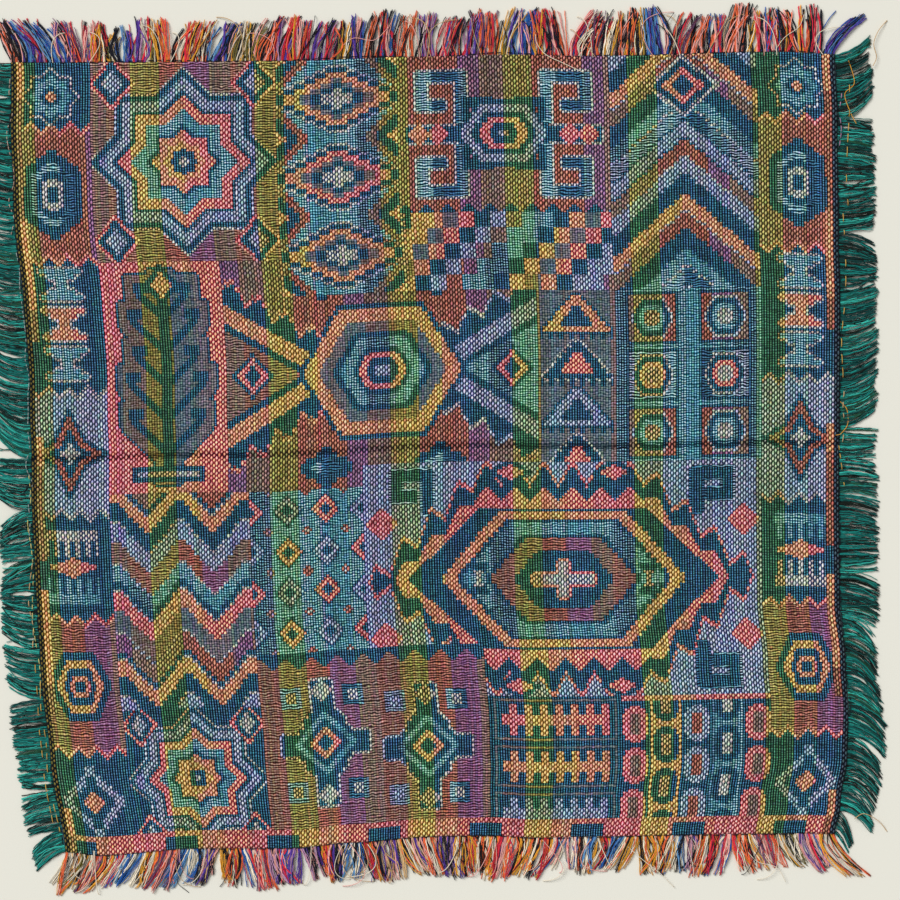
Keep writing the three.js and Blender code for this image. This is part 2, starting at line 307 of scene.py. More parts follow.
# How the shader works out the height of the yarn at a place. Each step has a name, an operation and
# its inputs, which are numbers or the names of earlier steps.
WEAVE_STEPS = (
    # The threads wander by up to half a row, and a float leans a little in its column.
    ("drift", "SUBTRACT", "wander", 0.5),
    ("row", "MULTIPLY_ADD", "drift", 1.7, "row"),
    ("slant", "FRACT", "column"),
    ("leaning_row", "MULTIPLY_ADD", "slant", 0.16, "row"),
    # Each wave has its top at the middle of a cell.
    ("turn_across", "MULTIPLY_ADD", "column", TURN, -math.pi),
    ("across", "COSINE", "turn_across"),
    ("turn_down", "MULTIPLY_ADD", "row", TURN, -math.pi),
    ("down", "COSINE", "turn_down"),
    # A float is long and narrow, and its neighbours start half its length on.
    ("whole_column", "FLOOR", "column"),
    ("turn_aside", "MULTIPLY", "whole_column", math.pi),
    ("side", "COSINE", "turn_aside"),
    ("turn_along", "MULTIPLY", "leaning_row", math.pi),
    ("along", "COSINE", "turn_along"),
    ("steep", "MULTIPLY", "along", 1.5),
    ("below", "MINIMUM", "steep", 1.0),
    ("level", "MAXIMUM", "below", -1.0),
    ("floats", "MULTIPLY", "side", "level"),
    # The parts are added up by the shares of the cell's structure.
    ("ribs", "MULTIPLY", "across", "across_share"),
    ("grid", "MULTIPLY_ADD", "down", "down_share", "ribs"),
    ("raised", "MULTIPLY_ADD", "floats", "float_share", "grid"),
    ("smooth", "ADD", "raised", "plain_share"),
    # Fibres are finer than a thread, and leave each one a little uneven.
    ("fuzz", "SUBTRACT", "fibre", 0.5),
    ("high", "MULTIPLY_ADD", "fuzz", 0.5, "smooth"),
)

# The patches of the design: the painter, the far row, the left column, the rows, the columns and
# the ground. A later patch lies over an earlier one. The painters' own sizes are in cells too.
PATCHES = (
    ("wedges", 76, 76, 88, 120, "earth"),
    ("star", 0, 30, 76, 70, "bars"),
    ("lozenges", 0, 100, 90, 46, "water"),
    ("horns", 0, 146, 60, 80, "earth"),
    ("stairs", 60, 146, 30, 80, "haze"),
    ("chevrons", 0, 226, 90, 56, "lilac"),
    ("tree", 76, 30, 88, 46, "bright"),
    ("amulets", 90, 196, 72, 30, "haze"),
    ("rosettes", 90, 226, 66, 56, "water"),
    ("zigzags", 164, 30, 82, 54, "earth"),
    ("lattice", 164, 84, 62, 44, "water"),
    ("medallion", 156, 128, 90, 154, "lilac"),
    ("crosses", 226, 84, 74, 88, "bars"),
    ("combs", 246, 172, 54, 52, "night"),
    ("chains", 246, 224, 54, 58, "earth"),
    ("star", 246, 30, 54, 54, "night"),
    ("border", 0, 0, 300, 30, "night"),
    ("border", 0, 282, 300, 30, "night"),
)

# How the locks of a fringe follow its clumps: their pitch, their greatest width and the share of
# their room that they fill. Their tips stay some way apart, and every second lock is shorter.
LOCK_PITCH, LOCK_WIDEST, LOCK_FILLS = 6.4, 5.8, 0.84
TIPS_APART, SHORTER = 3.4, 1.1

# How the yarn lies in each fringe. A lock has strands, and a strand has yarns. The other values are
# how far the tips gather and splay, stray and fall short, how sharply a yarn bends to its tip, how
# far a strand and a yarn bow aside, how high they are laid, how many keep their strand's dye, and
# the range of their shades. A yarn's random shade is partly its uneven dye and partly painted shade,
# which stands in for the shade between crowded yarns; this is why the weft's range is so wide.
WARP_YARN = {
    "slot": "warp_yarn", "strands": 6, "yarns": 4, "gather": 0.3, "splay": 0.7, "stray": 1.7,
    "ragged": 0.32, "bend": 1.6, "strand_bow": 1.3, "yarn_bow": 0.6, "loft": 1.5, "loyal": 0.7,
    "shade": (0.7, 1.25),
}
WEFT_YARN = {
    "slot": "weft_yarn", "strands": 5, "yarns": 5, "gather": 0.1, "splay": 0.62, "stray": 0.8,
    "ragged": 0.07, "bend": 2.1, "strand_bow": 0.5, "yarn_bow": 0.3, "loft": 1.3, "loyal": 0.4,
    "shade": (0.35, 1.45),
}

# What all fringe yarns have in common. They keep off the cloth's corners, leave it between its two
# faces and lie just clear of the floor. A few run wild, and each strays a share as far from its
# strand as the strand does. The reach, the thickness and the turns of the bow are ranges, the taper
# is the share lost at the tip, and a crimp is its size and its number of waves.
OFF_CORNER, OFF_FACE, OFF_FLOOR = 0.4, 0.35, 0.02
WILD_SHARE, WILD_STRAY, OWN_STRAY, OWN_BEND = 0.08, 4, 0.35, 0.2
REACHES, THICKNESSES, BOW_TURNS, TAPER = (0.94, 1.02), (0.85, 1.15), (0.6, 1.4), 0.15
CRIMP_ASIDE, CRIMP_UP = (0.16, 3.5), (0.12, 2.5)

# The rings of points along a fringe yarn, a loose thread and one float of a running thread, and the
# sides of every yarn.
RINGS, LOOSE_RINGS, FLOAT_RINGS, SIDES = 13, 40, 6, 4

# The groups of dyes in each fringe. The yarns of a lock are dyed in one group. The far fringe's
# groups hold more dark yarn than the near one's, and the right fringe's more than the left one's.
FRINGE_DYES = {
    "far": (
        "crimson royal shell ink", "tangerine shell ink umber", "violet ink mauve crimson",
        "marigold olive ink ivory", "royal steel ink violet", "ivory umber ink tangerine",
        "marigold tangerine ink crimson", "violet shell ink royal", "tangerine crimson ink plum",
    ),
    "near": (
        "crimson royal shell ivory", "tangerine marigold ivory umber", "violet ink mauve shell",
        "marigold olive ink ivory", "royal steel ink ivory", "ivory marigold umber tangerine",
        "marigold tangerine ink crimson", "violet shell ink tan", "tangerine crimson shell plum",
    ),
    "left": (
        "jade spruce sea_green jade", "jade bottle spruce jade", "sea_green jade spruce fir",
        "jade spruce bottle sea_green",
    ),
    "right": (
        "spruce jade bottle spruce", "jade spruce bottle jade", "sea_green spruce jade bottle",
        "spruce jade fir sea_green",
    ),
}

# Single threads that run along an edge, over and under the yarn: the edge, the shares of it where
# the thread starts and ends, how far out of the cloth it lies there, its dye, and its float.
RUNNING_THREADS = (
    # The four ink threads round the edge are partly a dark stay thread and partly painted shadow: they
    # also stand for the dark line of shade along the cloth's edge.
    ("far", 0.01, 0.99, 0.4, 0.4, "ink", 2.6), ("near", 0.01, 0.99, 0.4, 0.4, "ink", 2.6),
    ("left", 0.01, 0.99, 0.3, 0.3, "ink", 2.2), ("right", 0.01, 0.99, 0.3, 0.3, "ink", 2.2),
    ("left", 0.02, 0.22, 1.0, 0.9, "sand", 1.5), ("left", 0.24, 0.6, 0.9, 1.2, "dull_cream", 1.3),
    ("left", 0.52, 0.8, 0.9, 1.8, "moss", 2.0), ("left", 0.76, 0.965, 2.6, 4.6, "old_gold", 2.8),
    ("left", 0.78, 0.98, 1.0, 0.9, "old_gold", 3.2), ("left", 0.63, 0.74, 2.6, 3.2, "tan", 2.6),
    ("right", 0.035, 0.2, 6.6, 5.2, "old_gold", 3.4), ("right", 0.2, 0.42, 2.6, 1.6, "old_gold", 4.2),
    ("right", 0.43, 0.5, 2.6, 1.2, "tan", 2.8), ("right", 0.5, 0.57, 1.4, 2.8, "old_gold", 2.4),
    ("right", 0.05, 0.12, 1.6, 1.0, "mauve", 2.0),
)

# How far a thread wanders, the share of its floats that stay hidden and the level of its tops, on
# the edge of the cloth and out on the fringe. The edge ends at a distance out. A float starts and
# ends within these shares of its room, and its ends dip below its top.
ON_EDGE, ON_FRINGE, EDGE_OUT = (0.45, 0, THICK), (0.9, 0.25, 2.0), 0.5
FLOAT_STARTS, FLOAT_ENDS, FLOAT_SHADES = (0, 0.3), (0.55, 0.95), (0.8, 1.15)
FLOAT_DIPS, FLOAT_RISES = 0.5, 0.6

# Pale and dark hairs that cross the far and near fringes: how many on each, their dyes, how far one
# leans along the edge and bows aside, the ranges of its reach and radius, how far its root is from
# a corner and inside the edge, the level of its tip and how far it rises above that.
HAIRS, HAIR_DYES = 30, ("ivory", "shell", "ivory", "tan", "ivory", "ink", "shell")
HAIR_LEAN, HAIR_BOW, HAIR_REACH, HAIR_RADIUS = 15, 3.5, (15, 25), (0.18, 0.27)
HAIR_OFF_CORNER, HAIR_TUCK, HAIR_LOW, HAIR_HIGH = 5, 0.5, 0.25, 2.0

# Loose threads on the mat and beside it: the dye, the thickness, and points from the cloth's middle.
LOOSE_THREADS = (
    ("tan", 0.5, ((236, 232), (231, 226), (228.5, 219), (230, 212), (228, 207))),
    ("ivory", 0.45, ((46, 224), (47, 219), (52, 213), (60, 209), (72, 203.5))),
    ("tan", 0.45, ((218, -199), (223, -196), (231, -200), (236, -206))),
    ("marigold", 0.45, ((210.5, 26), (214, 22), (214.5, 14), (211, 9), (208, 8))),
    ("marigold", 0.45, ((215, 210), (218, 198), (213, 192), (216, 182), (219, 176))),
    ("ink", 0.45, ((-238, -20), (-231, -24), (-226, -18), (-219, -23))),
    ("ivory", 0.4, ((160, -216), (166, -222), (176, -225), (181, -233))),
    ("ivory", 0.4, ((96, -214), (104, -221), (113, -228), (121, -236))),
    ("shell", 0.4, ((-60, 216), (-52, 222), (-41, 221), (-33, 228))),
    ("ink", 0.4, ((118, 213), (121, 221), (117, 229), (121, 236))),
    ("ivory", 0.4, ((174, 213), (180, 222), (188, 228), (191, 235))),
    ("ink", 0.4, ((-150, -219), (-144, -226), (-147, -233), (-141, -239))),
)

# What the loose threads lie on: half the cloth's width and depth, how far they stand off its face,
# and the fringe, whose yarn is highest about halfway out.
HALF_CLOTH, OFF_CLOTH = (212, 214), 0.35
FRINGE_HIGH, FRINGE_MIDDLE, FRINGE_HALF = 2.1, 11, 12

# The parts of an unwrap. The cloth's face takes most of its square, the underside a small copy of
# it, and each rim a bar. A yarn has a small square of its own, with its sides over its two ends.
FACE_PART, FACE_CORNER = 0.86, 0.01
UNDER_PART, UNDER_CORNER = 0.1, (0.89, 0.01)
RIM_START, RIM_PITCH = 0.9, 0.02
YARN_MARGIN, YARN_AROUND, YARN_FOOT, YARN_ALONG = 0.05, 0.9, 0.2, 0.74
YARN_END, YARN_ENDS_APART = 0.1, 0.4

# Where the softbox stands in metres, and how far the floor lies under the yarn, so that no two
# faces fall together.
SOFTBOX_PLACE, FLOOR_DROP = (-1.6, 1.45, 2.2), 0.2


def linear(colour):
    """An sRGB hex colour as linear red, green and blue."""
    shares = [int(colour[i:i + 2], 16) / 255 for i in (1, 3, 5)]
    return [s / 12.92 if s <= 0.04045 else ((s + 0.055) / 1.055) ** 2.4 for s in shares]


def mix(a, b, share):
    """A value some share of the way from one to another."""
    return a + (b - a) * share


def steps(values, size):
    """Values taken down to whole steps."""
    return np.floor(values / size) * size


class Edge:
    """One edge of the cloth. Its points are given by a distance along it and one out of it."""

    def __init__(self, side, start, end, outward_turn):
        self.start = np.array(CORNERS[start], float)
        span = np.array(CORNERS[end], float) - self.start
        self.length = float(np.hypot(*span))
        self.along = span / self.length
        self.outward = outward_turn * np.array((-self.along[1], self.along[0]))
        self.places, self.bows = np.array(BOWS[side], float).T

    def bow(self, share):
        """How far the edge bows out at a share of its length, swinging softly from row to row."""
        share = np.clip(share, 0, 1)
        row = np.clip(np.searchsorted(self.places, share), 1, len(self.places) - 1)
        part = (share - self.places[row - 1]) / (self.places[row] - self.places[row - 1])
        return mix(self.bows[row - 1], self.bows[row], (1 - np.cos(math.pi * part)) / 2)

    def place(self, distance, out):
        """Points by their distance along the edge and out of its straight line."""
        distance, out = np.broadcast_arrays(distance, out)
        return self.start + distance[..., None] * self.along + out[..., None] * self.outward

    def point(self, share):
        """Points on the bowed edge by their share of its length."""
        share = np.asarray(share, float)
        return self.place(share * self.length, self.bow(share))


EDGES = {
    "far": Edge("far", "far_left", "far_right", 1),
    "near": Edge("near", "near_left", "near_right", -1),
    "left": Edge("left", "far_left", "near_left", -1),
    "right": Edge("right", "far_right", "near_right", 1),
}


def cloth_point(across, down):
    """Points of the cloth before it is set in the frame, by their shares across and down it."""
    across, down = np.broadcast_arrays(across, down)
    far, near = EDGES["far"], EDGES["near"]
    left, right = EDGES["left"].point(down), EDGES["right"].point(down)
    a, d = across[..., None], down[..., None]
    edges = far.point(across) * (1 - d) + near.point(across) * d + left * (1 - a) + right * a
    corners = (
        far.point(0) * (1 - a) * (1 - d) + far.point(1) * a * (1 - d)
        + near.point(0) * (1 - a) * d + near.point(1) * a * d
    )
    return edges - corners


def frame_shift():
    """How far the mat's own middle lies from the frame's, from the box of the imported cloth."""
    low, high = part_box("woven_cloth")
    share = np.linspace(0, 1, 401)
    outline = np.concatenate([edge.point(share) for edge in EDGES.values()])
    own_middle = (outline.min(0) + outline.max(0)) / 2
    packed_middle = np.array([(low[i] + high[i]) / 2 / MM for i in (0, 1)])
    return packed_middle - own_middle


SHIFT = frame_shift()


class Chart:
    """The plan of the weave: the kind of weave in each cell, by row from the far side."""

    def __init__(self):
        self.row, self.column = (grid + 0.5 for grid in np.mgrid[0:ROWS, 0:COLUMNS])
        self.kind = np.zeros((ROWS, COLUMNS), int)
        self.window = np.ones((ROWS, COLUMNS), bool)

    def paint(self, mask, kind):
        """Gives the cells of a shape one kind of weave, inside the patch that is being painted."""
        self.kind[mask & self.window] = KINDS.index(kind)

    def outline(self, mask, kind):
        """Paints the cells round a shape."""
        wide = mask.copy()
        wide[1:] |= mask[:-1]
        wide[:-1] |= mask[1:]
        wide[:, 1:] |= mask[:, :-1]
        wide[:, :-1] |= mask[:, 1:]
        self.paint(wide & ~mask, kind)

    def away(self, row, column):
        """How far each cell is from a place, in rows and in columns."""
        return abs(self.row - row), abs(self.column - column)

    def box(self, row, column, high, wide):
        """A box by its middle and its half height and half width."""
        down, across = self.away(row, column)
        return (down <= high) & (across <= wide)

    def lozenge(self, row, column, high, wide, step=1):
        down, across = self.away(row, column)
        return steps(down, step) / high + steps(across, step) / wide <= 1

    def hexagon(self, row, column, high, wide, point=0.5):
        """A shape with two level sides, pointed left and right."""
        down, across = self.away(row, column)
        return (down <= high) & (across <= wide - steps(down, 2) * wide * point / high)

    def upright_hexagon(self, row, column, high, wide):
        down, across = self.away(row, column)
        return (across <= wide) & (down <= high - steps(across, 2) * high * 0.5 / wide)

    def star(self, row, column, size):
        """An eight-pointed star: a square and a lozenge on one middle."""
        down, across = self.away(row, column)
        return (np.maximum(down, across) <= size * 0.7) | (down + across <= size)

    def hourglass(self, row, column, high, wide):
        down, across = self.away(row, column)
        return (down <= high) & (across <= wide * (steps(down, 2) + 1) / high)

    def wave(self, places, pitch):
        """A zigzag from 0 to 1 along rows or columns."""
        return abs((places / pitch) % 1 * 2 - 1)

    def nest(self, shape, *layers):
        """Paints one shape inside another: each layer is its size and its kind."""
        for size, kind in layers:
            self.paint(shape(size), kind)

    def gem(self, row, column, *layers):
        """Paints one lozenge inside another: each layer is its size, its step if any, and its kind."""
        for *size, kind in layers:
            self.paint(self.lozenge(row, column, *size), kind)

    def hook(self, row, column, size, down, across, thick):
        """A squared ram's horn that starts at a place and turns inwards."""
        def arm(row_from, row_to, column_from, column_to):
            rows = sorted((row + down * row_from * size, row + down * row_to * size))
            columns = sorted((column + across * column_from * size, column + across * column_to * size))
            return (
                (self.row >= rows[0] - thick / 2) & (self.row <= rows[1] + thick / 2)
                & (self.column >= columns[0] - thick / 2) & (self.column <= columns[1] + thick / 2)
            )
        return arm(0, 1, 0, 0) | arm(1, 1, 0, 0.9) | arm(0.35, 1, 0.9, 0.9) | arm(0.35, 0.35, 0.45, 0.9)


def paint_star(chart, row, column, high, wide):
    """A nested eight-pointed star with a small lozenge in each corner."""
    scale = min(high, wide) / 68

    def star(size):
        return chart.star(row, column, size * scale)

    chart.nest(
        star, (34, "night"), (32, "lilac"), (27, "night"), (25, "bright"), (20, "water"), (14, "night"),
        (12, "warm"), (8, "amber"), (5, "night"), (2, "light"),
    )
    chart.outline(star(34), "light")
    for down in (-1, 1):
        for across in (-1, 1):
            chart.gem(
                row + down * high * 0.39, column + across * wide * 0.38,
                (9 * scale, 8 * scale, "warm"), (7 * scale, 6 * scale, "night"),
                (4 * scale, 3 * scale, "light"),
            )


def paint_lozenges(chart, row, column, high, wide):
    """Three lozenges in a column, with dark half lozenges in the gaps at the sides."""
    for place in (-1, 0, 1):
        middle = row + place * high / 3

        def lozenge(size):
            return chart.lozenge(middle, column, size * 0.52, size, 2)

        chart.nest(
            lozenge, (22, "night"), (18, "amber" if place else "bright"), (13, "haze"), (8, "night"),
            (4, "light"),
        )
        chart.outline(lozenge(22), "light")
    for place in (-1.5, -0.5, 0.5, 1.5):
        for side in (-1, 1):
            chart.gem(
                row + place * high / 3, column + side * wide / 2,
                (10, 11, 2, "earth"), (6, 7, 2, "night"), (2, 3, "warm"),
            )


def paint_horns(chart, row, column, high, wide):
    """Pairs of ram's horns round a hexagon, with a crossbar of small lozenges."""
    for down in (-1, 1):
        for across in (-1, 1):
            horn = chart.hook(row + down * 5, column + across * 16, 17, down, across, 4)
            chart.paint(horn, "stream")
            chart.outline(horn, "light")
            chart.paint(chart.hook(row + down * 3, column + across * 6, 9, down, across, 3), "night")
    bar = chart.box(row, column, 3, wide / 2 - 3)
    chart.paint(bar, "night")
    chart.outline(bar, "light")

    def middle(size):
        return chart.hexagon(row, column, size * 0.7, size)

    chart.nest(
        middle, (18, "night"), (16, "lilac"), (12, "night"), (9, "warm"), (5, "night"), (2, "light")
    )
    for place in (-32, -25, 25, 32):
        chart.gem(row, column + place, (3, 3, "warm"))
    chart.paint(chart.row > row + high / 2 - 3 + 3 * chart.wave(chart.column, 8), "night")


def paint_chevrons(chart, row, column, high, wide):
    """Chevrons that point to the near side, with a small lozenge in the first one."""
    level = chart.row - row + high / 2 - steps(abs(chart.column - column), 2) * 0.9 + 24
    order = ("lilac", "night", "amber", "earth", "night", "water", "stream", "lilac", "earth")
    for turn in range(2 * len(order)):
        near, far = turn * 7 + 7, turn * 7
        chart.paint((level >= far) & (level < near), order[turn % len(order)])
        chart.paint((level >= far) & (level < far + 1), "light" if turn % 3 == 0 else "night")
    for size, kind in ((11, "light"), (9, "night"), (6, "warm"), (3, "night")):
        chart.gem(row - high / 2 + 12, column, (size, size * 1.2, kind))


def paint_tree(chart, row, column, high, wide):
    """A dark tree of combs with lifted arms, on a pale halo."""
    shape = chart.box(row, column, high / 2 - 6, 2)
    for place in range(5):
        base = row - high / 2 + 20 + place * 13
        rise = chart.row - base + abs(chart.column - column)
        reach = 10 + 2 * (place % 2) + place
        shape |= (rise >= 0) & (rise < 3.4) & (abs(chart.column - column) < reach)
        for side in (-1, 1):
            shape |= chart.box(base - reach, column + side * (reach - 2), 2, 3)
    halo = shape.copy()
    for _ in range(3):
        halo[1:] |= halo[:-1].copy()
        halo[:-1] |= halo[1:].copy()
        halo[:, 1:] |= halo[:, :-1].copy()
        halo[:, :-1] |= halo[:, 1:].copy()
    chart.paint(halo, "haze")
    chart.outline(halo, "night")
    chart.paint(shape, "night")
    chart.paint(chart.box(row + high / 2 - 7, column, 3, 14), "night")
    chart.paint(chart.box(row + high / 2 - 7, column, 1, 12), "light")
    chart.gem(row - high / 2 + 9, column, (7, 6, "night"), (4, 3, "warm"))


def paint_wedges(chart, row, column, high, wide):
    """Two toothed wedges that meet at a nested hexagon."""
    down, across = chart.away(row, column)
    left = chart.column < column
    reach = np.maximum(across - 6, 0) * 0.6
    tooth = steps(8 * chart.wave(chart.column, 10), 2)
    for wedge, kind_right, kind_left in (
        (reach + tooth + 1, "light", "warm"), (reach + tooth - 1, "night", "night"),
        (reach - 5, "lilac", "amber"), (reach - 12, "night", "night"), (reach - 15, "water", "bars"),
    ):
        chart.paint(down <= wedge, kind_right)
        chart.paint((down <= wedge) & left, kind_left)
    for side in (-1, 1):
        chart.gem(row, column + side * 50, (8, 7, "night"), (6, 5, "warm"), (3, 2, "night"))

    def middle(size):
        return chart.hexagon(row, column, size * 0.8, size)

    chart.nest(
        middle, (32, "night"), (30, "amber"), (24, "haze"), (19, "night"), (16, "water"), (11, "night"),
        (9, "warm"), (6, "night"), (3, "light"),
    )
    for side in (-1, 1):
        for place in (-22, 22):
            chart.gem(row + side * 36, column + place, (7, 9, 2, "night"), (3, 5, "stream"))


def paint_stairs(chart, row, column, high, wide):
    """Stepped bands that climb to the right."""
    climb = steps(chart.row, 6) + steps(chart.column, 6)
    order = ("bright", "night", "lilac", "earth", "water", "night", "amber", "haze")
    for turn, kind in enumerate(order):
        chart.paint((climb // 7).astype(int) % len(order) == turn, kind)
    chart.paint((chart.column < column - wide / 2 + 2) & (chart.row % 3 < 2), "light")


def paint_rosettes(chart, row, column, high, wide):
    """Square blocks with a ringed rosette in each."""
    half = min(high / 6, wide / 4) - 1
    for down in (-1, 0, 1):
        for across in (-0.5, 0.5):
            spot = (row + down * high / 3, column + across * wide / 2)
            turned = (down + int(across * 2)) % 2
            chart.paint(chart.box(*spot, half, half), "night")
            chart.paint(chart.box(*spot, half - 1, half - 1), "stream" if turned else "earth")

            def ring(size):
                return chart.hexagon(*spot, size, size, 0.45)

            chart.nest(
                ring, (half - 2, "light"), (half - 3, "night"),
                (half - 5, "warm" if turned else "water"), (half - 7, "light"),
            )


def paint_zigzags(chart, row, column, high, wide):
    """Bold zigzag bands."""
    level = chart.row - row + high / 2 + steps(chart.wave(chart.column - column, 25) * 14, 2)
    order = ("earth", "night", "amber", "night", "lilac", "bars", "water", "night", "bright", "haze")
    widths = (8, 2, 7, 7, 8, 8, 7, 3, 8, 8)
    start = -2
    for turn in range(2 * len(order)):
        near = start + widths[turn % len(order)]
        chart.paint((level >= start) & (level < near), order[turn % len(order)])
        if turn % 2 == 0:
            chart.paint((level >= start) & (level < start + 1), "light")
        start = near


def paint_amulets(chart, row, column, high, wide):
    """Toothed triangles stacked in a column."""
    for place in range(4):
        foot = row - high / 2 + 16 + place * 18
        down = foot - chart.row
        across = abs(chart.column - column)
        body = (down >= 0) & (down < 14) & (across <= 13 - steps(down, 2) * 0.9)
        inner = (down >= 2) & (down < 10) & (across <= 8 - steps(down, 2) * 0.8)
        chart.paint(body, ("amber", "night", "lilac", "night")[place])
        chart.outline(body, "light" if place % 2 else "night")
        chart.paint(inner, "bright" if place % 2 else "night")
        teeth = (down < 0) & (down > -3) & (across < 14) & (chart.column % 4 < 2)
        chart.paint(teeth, "night")


def paint_medallion(chart, row, column, high, wide):
    """A long nested hexagon with saw teeth, a small cross at its middle and hooks outside."""
    for side in (-1, 1):
        for place in (-1, 1):
            horn = chart.hook(row + side * 27, column + place * 52, 13, side, place, 4)
            chart.paint(horn, "night")
            chart.outline(horn, "stream")
            chart.gem(row + side * 22, column + place * 70, (5, 5, "warm"))

    def ring(size):
        return chart.hexagon(row, column, size * 0.62, size * 1.12, 0.5)

    tooth = 9 * chart.wave(chart.column, 11)
    down, across = chart.away(row, column)
    inside = down + np.maximum(across - 32, 0) * 0.95
    chart.nest(lambda size: inside <= size + tooth, (37, "warm"), (35, "night"))
    chart.paint(inside <= 30 + tooth * 0.6, "bright")
    chart.paint(inside <= 27, "night")
    chart.nest(
        ring, (42, "amber"), (37, "night"), (35, "water"), (27, "night"), (25, "bars"), (17, "night")
    )
    cross = chart.box(row, column, 2, 12) | chart.box(row, column, 7, 2)
    chart.paint(cross, "light")
    chart.outline(cross, "warm")
    for side in (-1, 1):
        chart.paint(chart.hourglass(row, column + side * 33, 6, 5), "night")
        chart.paint(chart.hourglass(row, column + side * 33, 3, 2), "light")
    for side in (-1, 1):
        for place in (-20, 20):
            chart.gem(
                row + side * (high / 2 - 4), column + place, (5, 7, "night"), (2, 4, "warm")
            )


def paint_lattice(chart, row, column, high, wide):
    """A lattice of small lozenges."""
    down, across = (chart.row - row) / 15.5, (chart.column - column) / 14.7
    near = abs(down % 1 - 0.5) * 2 + abs(across % 1 - 0.5) * 2
    other = (steps(down, 1) + steps(across, 1)) % 2
    chart.paint(near < 0.86, "night")
    chart.paint((near < 0.72) & (other == 0), "bright")
    chart.paint((near < 0.72) & (other == 1), "lilac")
    chart.paint(near < 0.34, "night")
    chart.paint(near > 1.72, "earth")
    chart.paint(near > 1.9, "light")


def paint_crosses(chart, row, column, high, wide):
    """Two outlined crosses with small squares between their arms."""
    for side in (-1, 1):
        spot = (row + side * 2, column + side * 20)
        cross = chart.box(*spot, 24, 4) | chart.box(*spot, 4, 17) | chart.lozenge(*spot, 15, 13, 2)
        chart.paint(cross, "night")
        chart.outline(cross, "light")

        def middle(size):
            return chart.lozenge(*spot, size, size)

        chart.nest(middle, (11, "water"), (8, "night"), (5, "warm"), (2, "night"))
        for down in (-1, 1):
            chart.gem(spot[0] + down * 20, spot[1], (3, 3, "light"))
            for across in (-1, 1):
                corner = (spot[0] + down * 18, spot[1] + across * 12)
                chart.paint(chart.box(*corner, 4, 4), "stream")
                chart.paint(chart.box(*corner, 1.5, 1.5), "light")
    chart.paint(chart.row < row - high / 2 + 2 + 5 * chart.wave(chart.column, 10), "night")
    chart.paint(chart.row > row + high / 2 - 2 - 5 * chart.wave(chart.column, 10), "lilac")


def paint_combs(chart, row, column, high, wide):
    """Combs with their tines turned to each other, between dotted bands."""
    for place, kind in ((-18, "bright"), (0, "amber"), (18, "lilac")):
        spine = chart.box(row + place, column, 1.5, 21)
        tines = chart.box(row + place, column, 5.5, 21) & (chart.column % 6 < 3)
        chart.paint(chart.box(row + place, column, 8, 24), "haze")
        chart.paint(chart.box(row + place, column, 6.5, 22.5), "night")
        chart.paint(spine | tines, kind)


def paint_chains(chart, row, column, high, wide):
    """Upright bars with a chain of hexagons down each."""
    for place, kind in ((-2, "night"), (-1, "amber"), (0, "night"), (1, "water"), (2, "night")):
        middle = column + place * 12
        chart.paint(chart.box(row, middle, high, 6), kind)
        for link in range(-2, 3):
            spot = (row + link * 16 + 8 * (place % 2), middle)
            inner = "bright" if kind == "night" else "night"
            chart.paint(chart.upright_hexagon(*spot, 7, 5), inner if place else "lilac")
            chart.paint(chart.upright_hexagon(*spot, 3.5, 2), "earth" if kind == "night" else "light")
    chart.paint(chart.row < row - high / 2 + 2, "warm")


def paint_border(chart, row, column, high, wide):
    """A column of small figures, on grounds that change with toothed edges."""
    top = row - high / 2
    side = -1 if column < COLUMNS / 2 else 1
    tooth = 4 * chart.wave(chart.column, 7.5)
    for place, half, kind in ((50, 24, "earth"), (148, 22, "lilac"), (236, 24, "bars")):
        away = abs(chart.row - top - place)
        chart.paint(away <= half + tooth, "light" if kind == "lilac" else "warm")
        chart.paint(away <= half - 2 + tooth, kind)

    def star(size):
        return chart.star(top + 13, column, size)

    chart.nest(star, (11, "light"), (10, "night"), (8, "water"), (4, "night"), (2, "warm"))

    def medallion(size):
        return chart.upright_hexagon(top + 50, column, size * 1.5, size)

    chart.nest(medallion, (11, "night"), (8, "stream"), (6, "night"), (4, "light"), (2, "night"))
    for place in (-1, 0, 1):
        glass = chart.hourglass(top + 99 + place * 15, column, 6, 9)
        chart.paint(glass, "water" if place else "bright")
        chart.outline(glass, "light")

    def flower(size):
        spot = (top + 148, column)
        return chart.lozenge(*spot, size * 1.2, size * 0.6) | chart.lozenge(*spot, size * 0.6, size)

    chart.nest(flower, (14, "night"), (11, "earth"), (7, "night"), (3, "light"))
    for place in (-1, 1):
        comb = chart.box(top + 191 + place * 12, column, 1.5, 10)
        comb |= chart.box(top + 191 + place * 8, column, 4, 10) & (chart.column % 4 < 2)
        chart.paint(comb, "light" if place == side else "water")
    chart.gem(top + 191, column, (3, 8, "warm"))

    def last(size):
        return chart.hexagon(top + 236, column, size, size * 0.9)

    chart.nest(last, (13, "night"), (10, "amber"), (7, "night"), (4, "warm"), (2, "night"))
    chart.gem(top + 280, column, (12, 11, 2, "lilac"), (8, 7, 2, "night"), (3, 3, "warm"))


def paint_edging(chart):
    """The outermost threads: a bright band with dark tabs at the near edge, and gold side warps."""
    near = chart.row > ROWS - 7
    inner = (chart.column > 5) & (chart.column < COLUMNS - 5)
    chart.paint(near & inner, "bright")
    chart.paint(near & (chart.column % 41 < 13) & (chart.row > ROWS - 5), "night")
    outer = np.minimum(chart.column, COLUMNS - chart.column)
    run = steps(chart.row + 9 * np.sin(chart.row * 0.13), 23) / 23 % 3
    chart.paint((outer < 5) & (run == 0), "amber")
    chart.paint((outer < 5) & (run == 1), "earth")
    chart.paint(outer < 2, "rim")


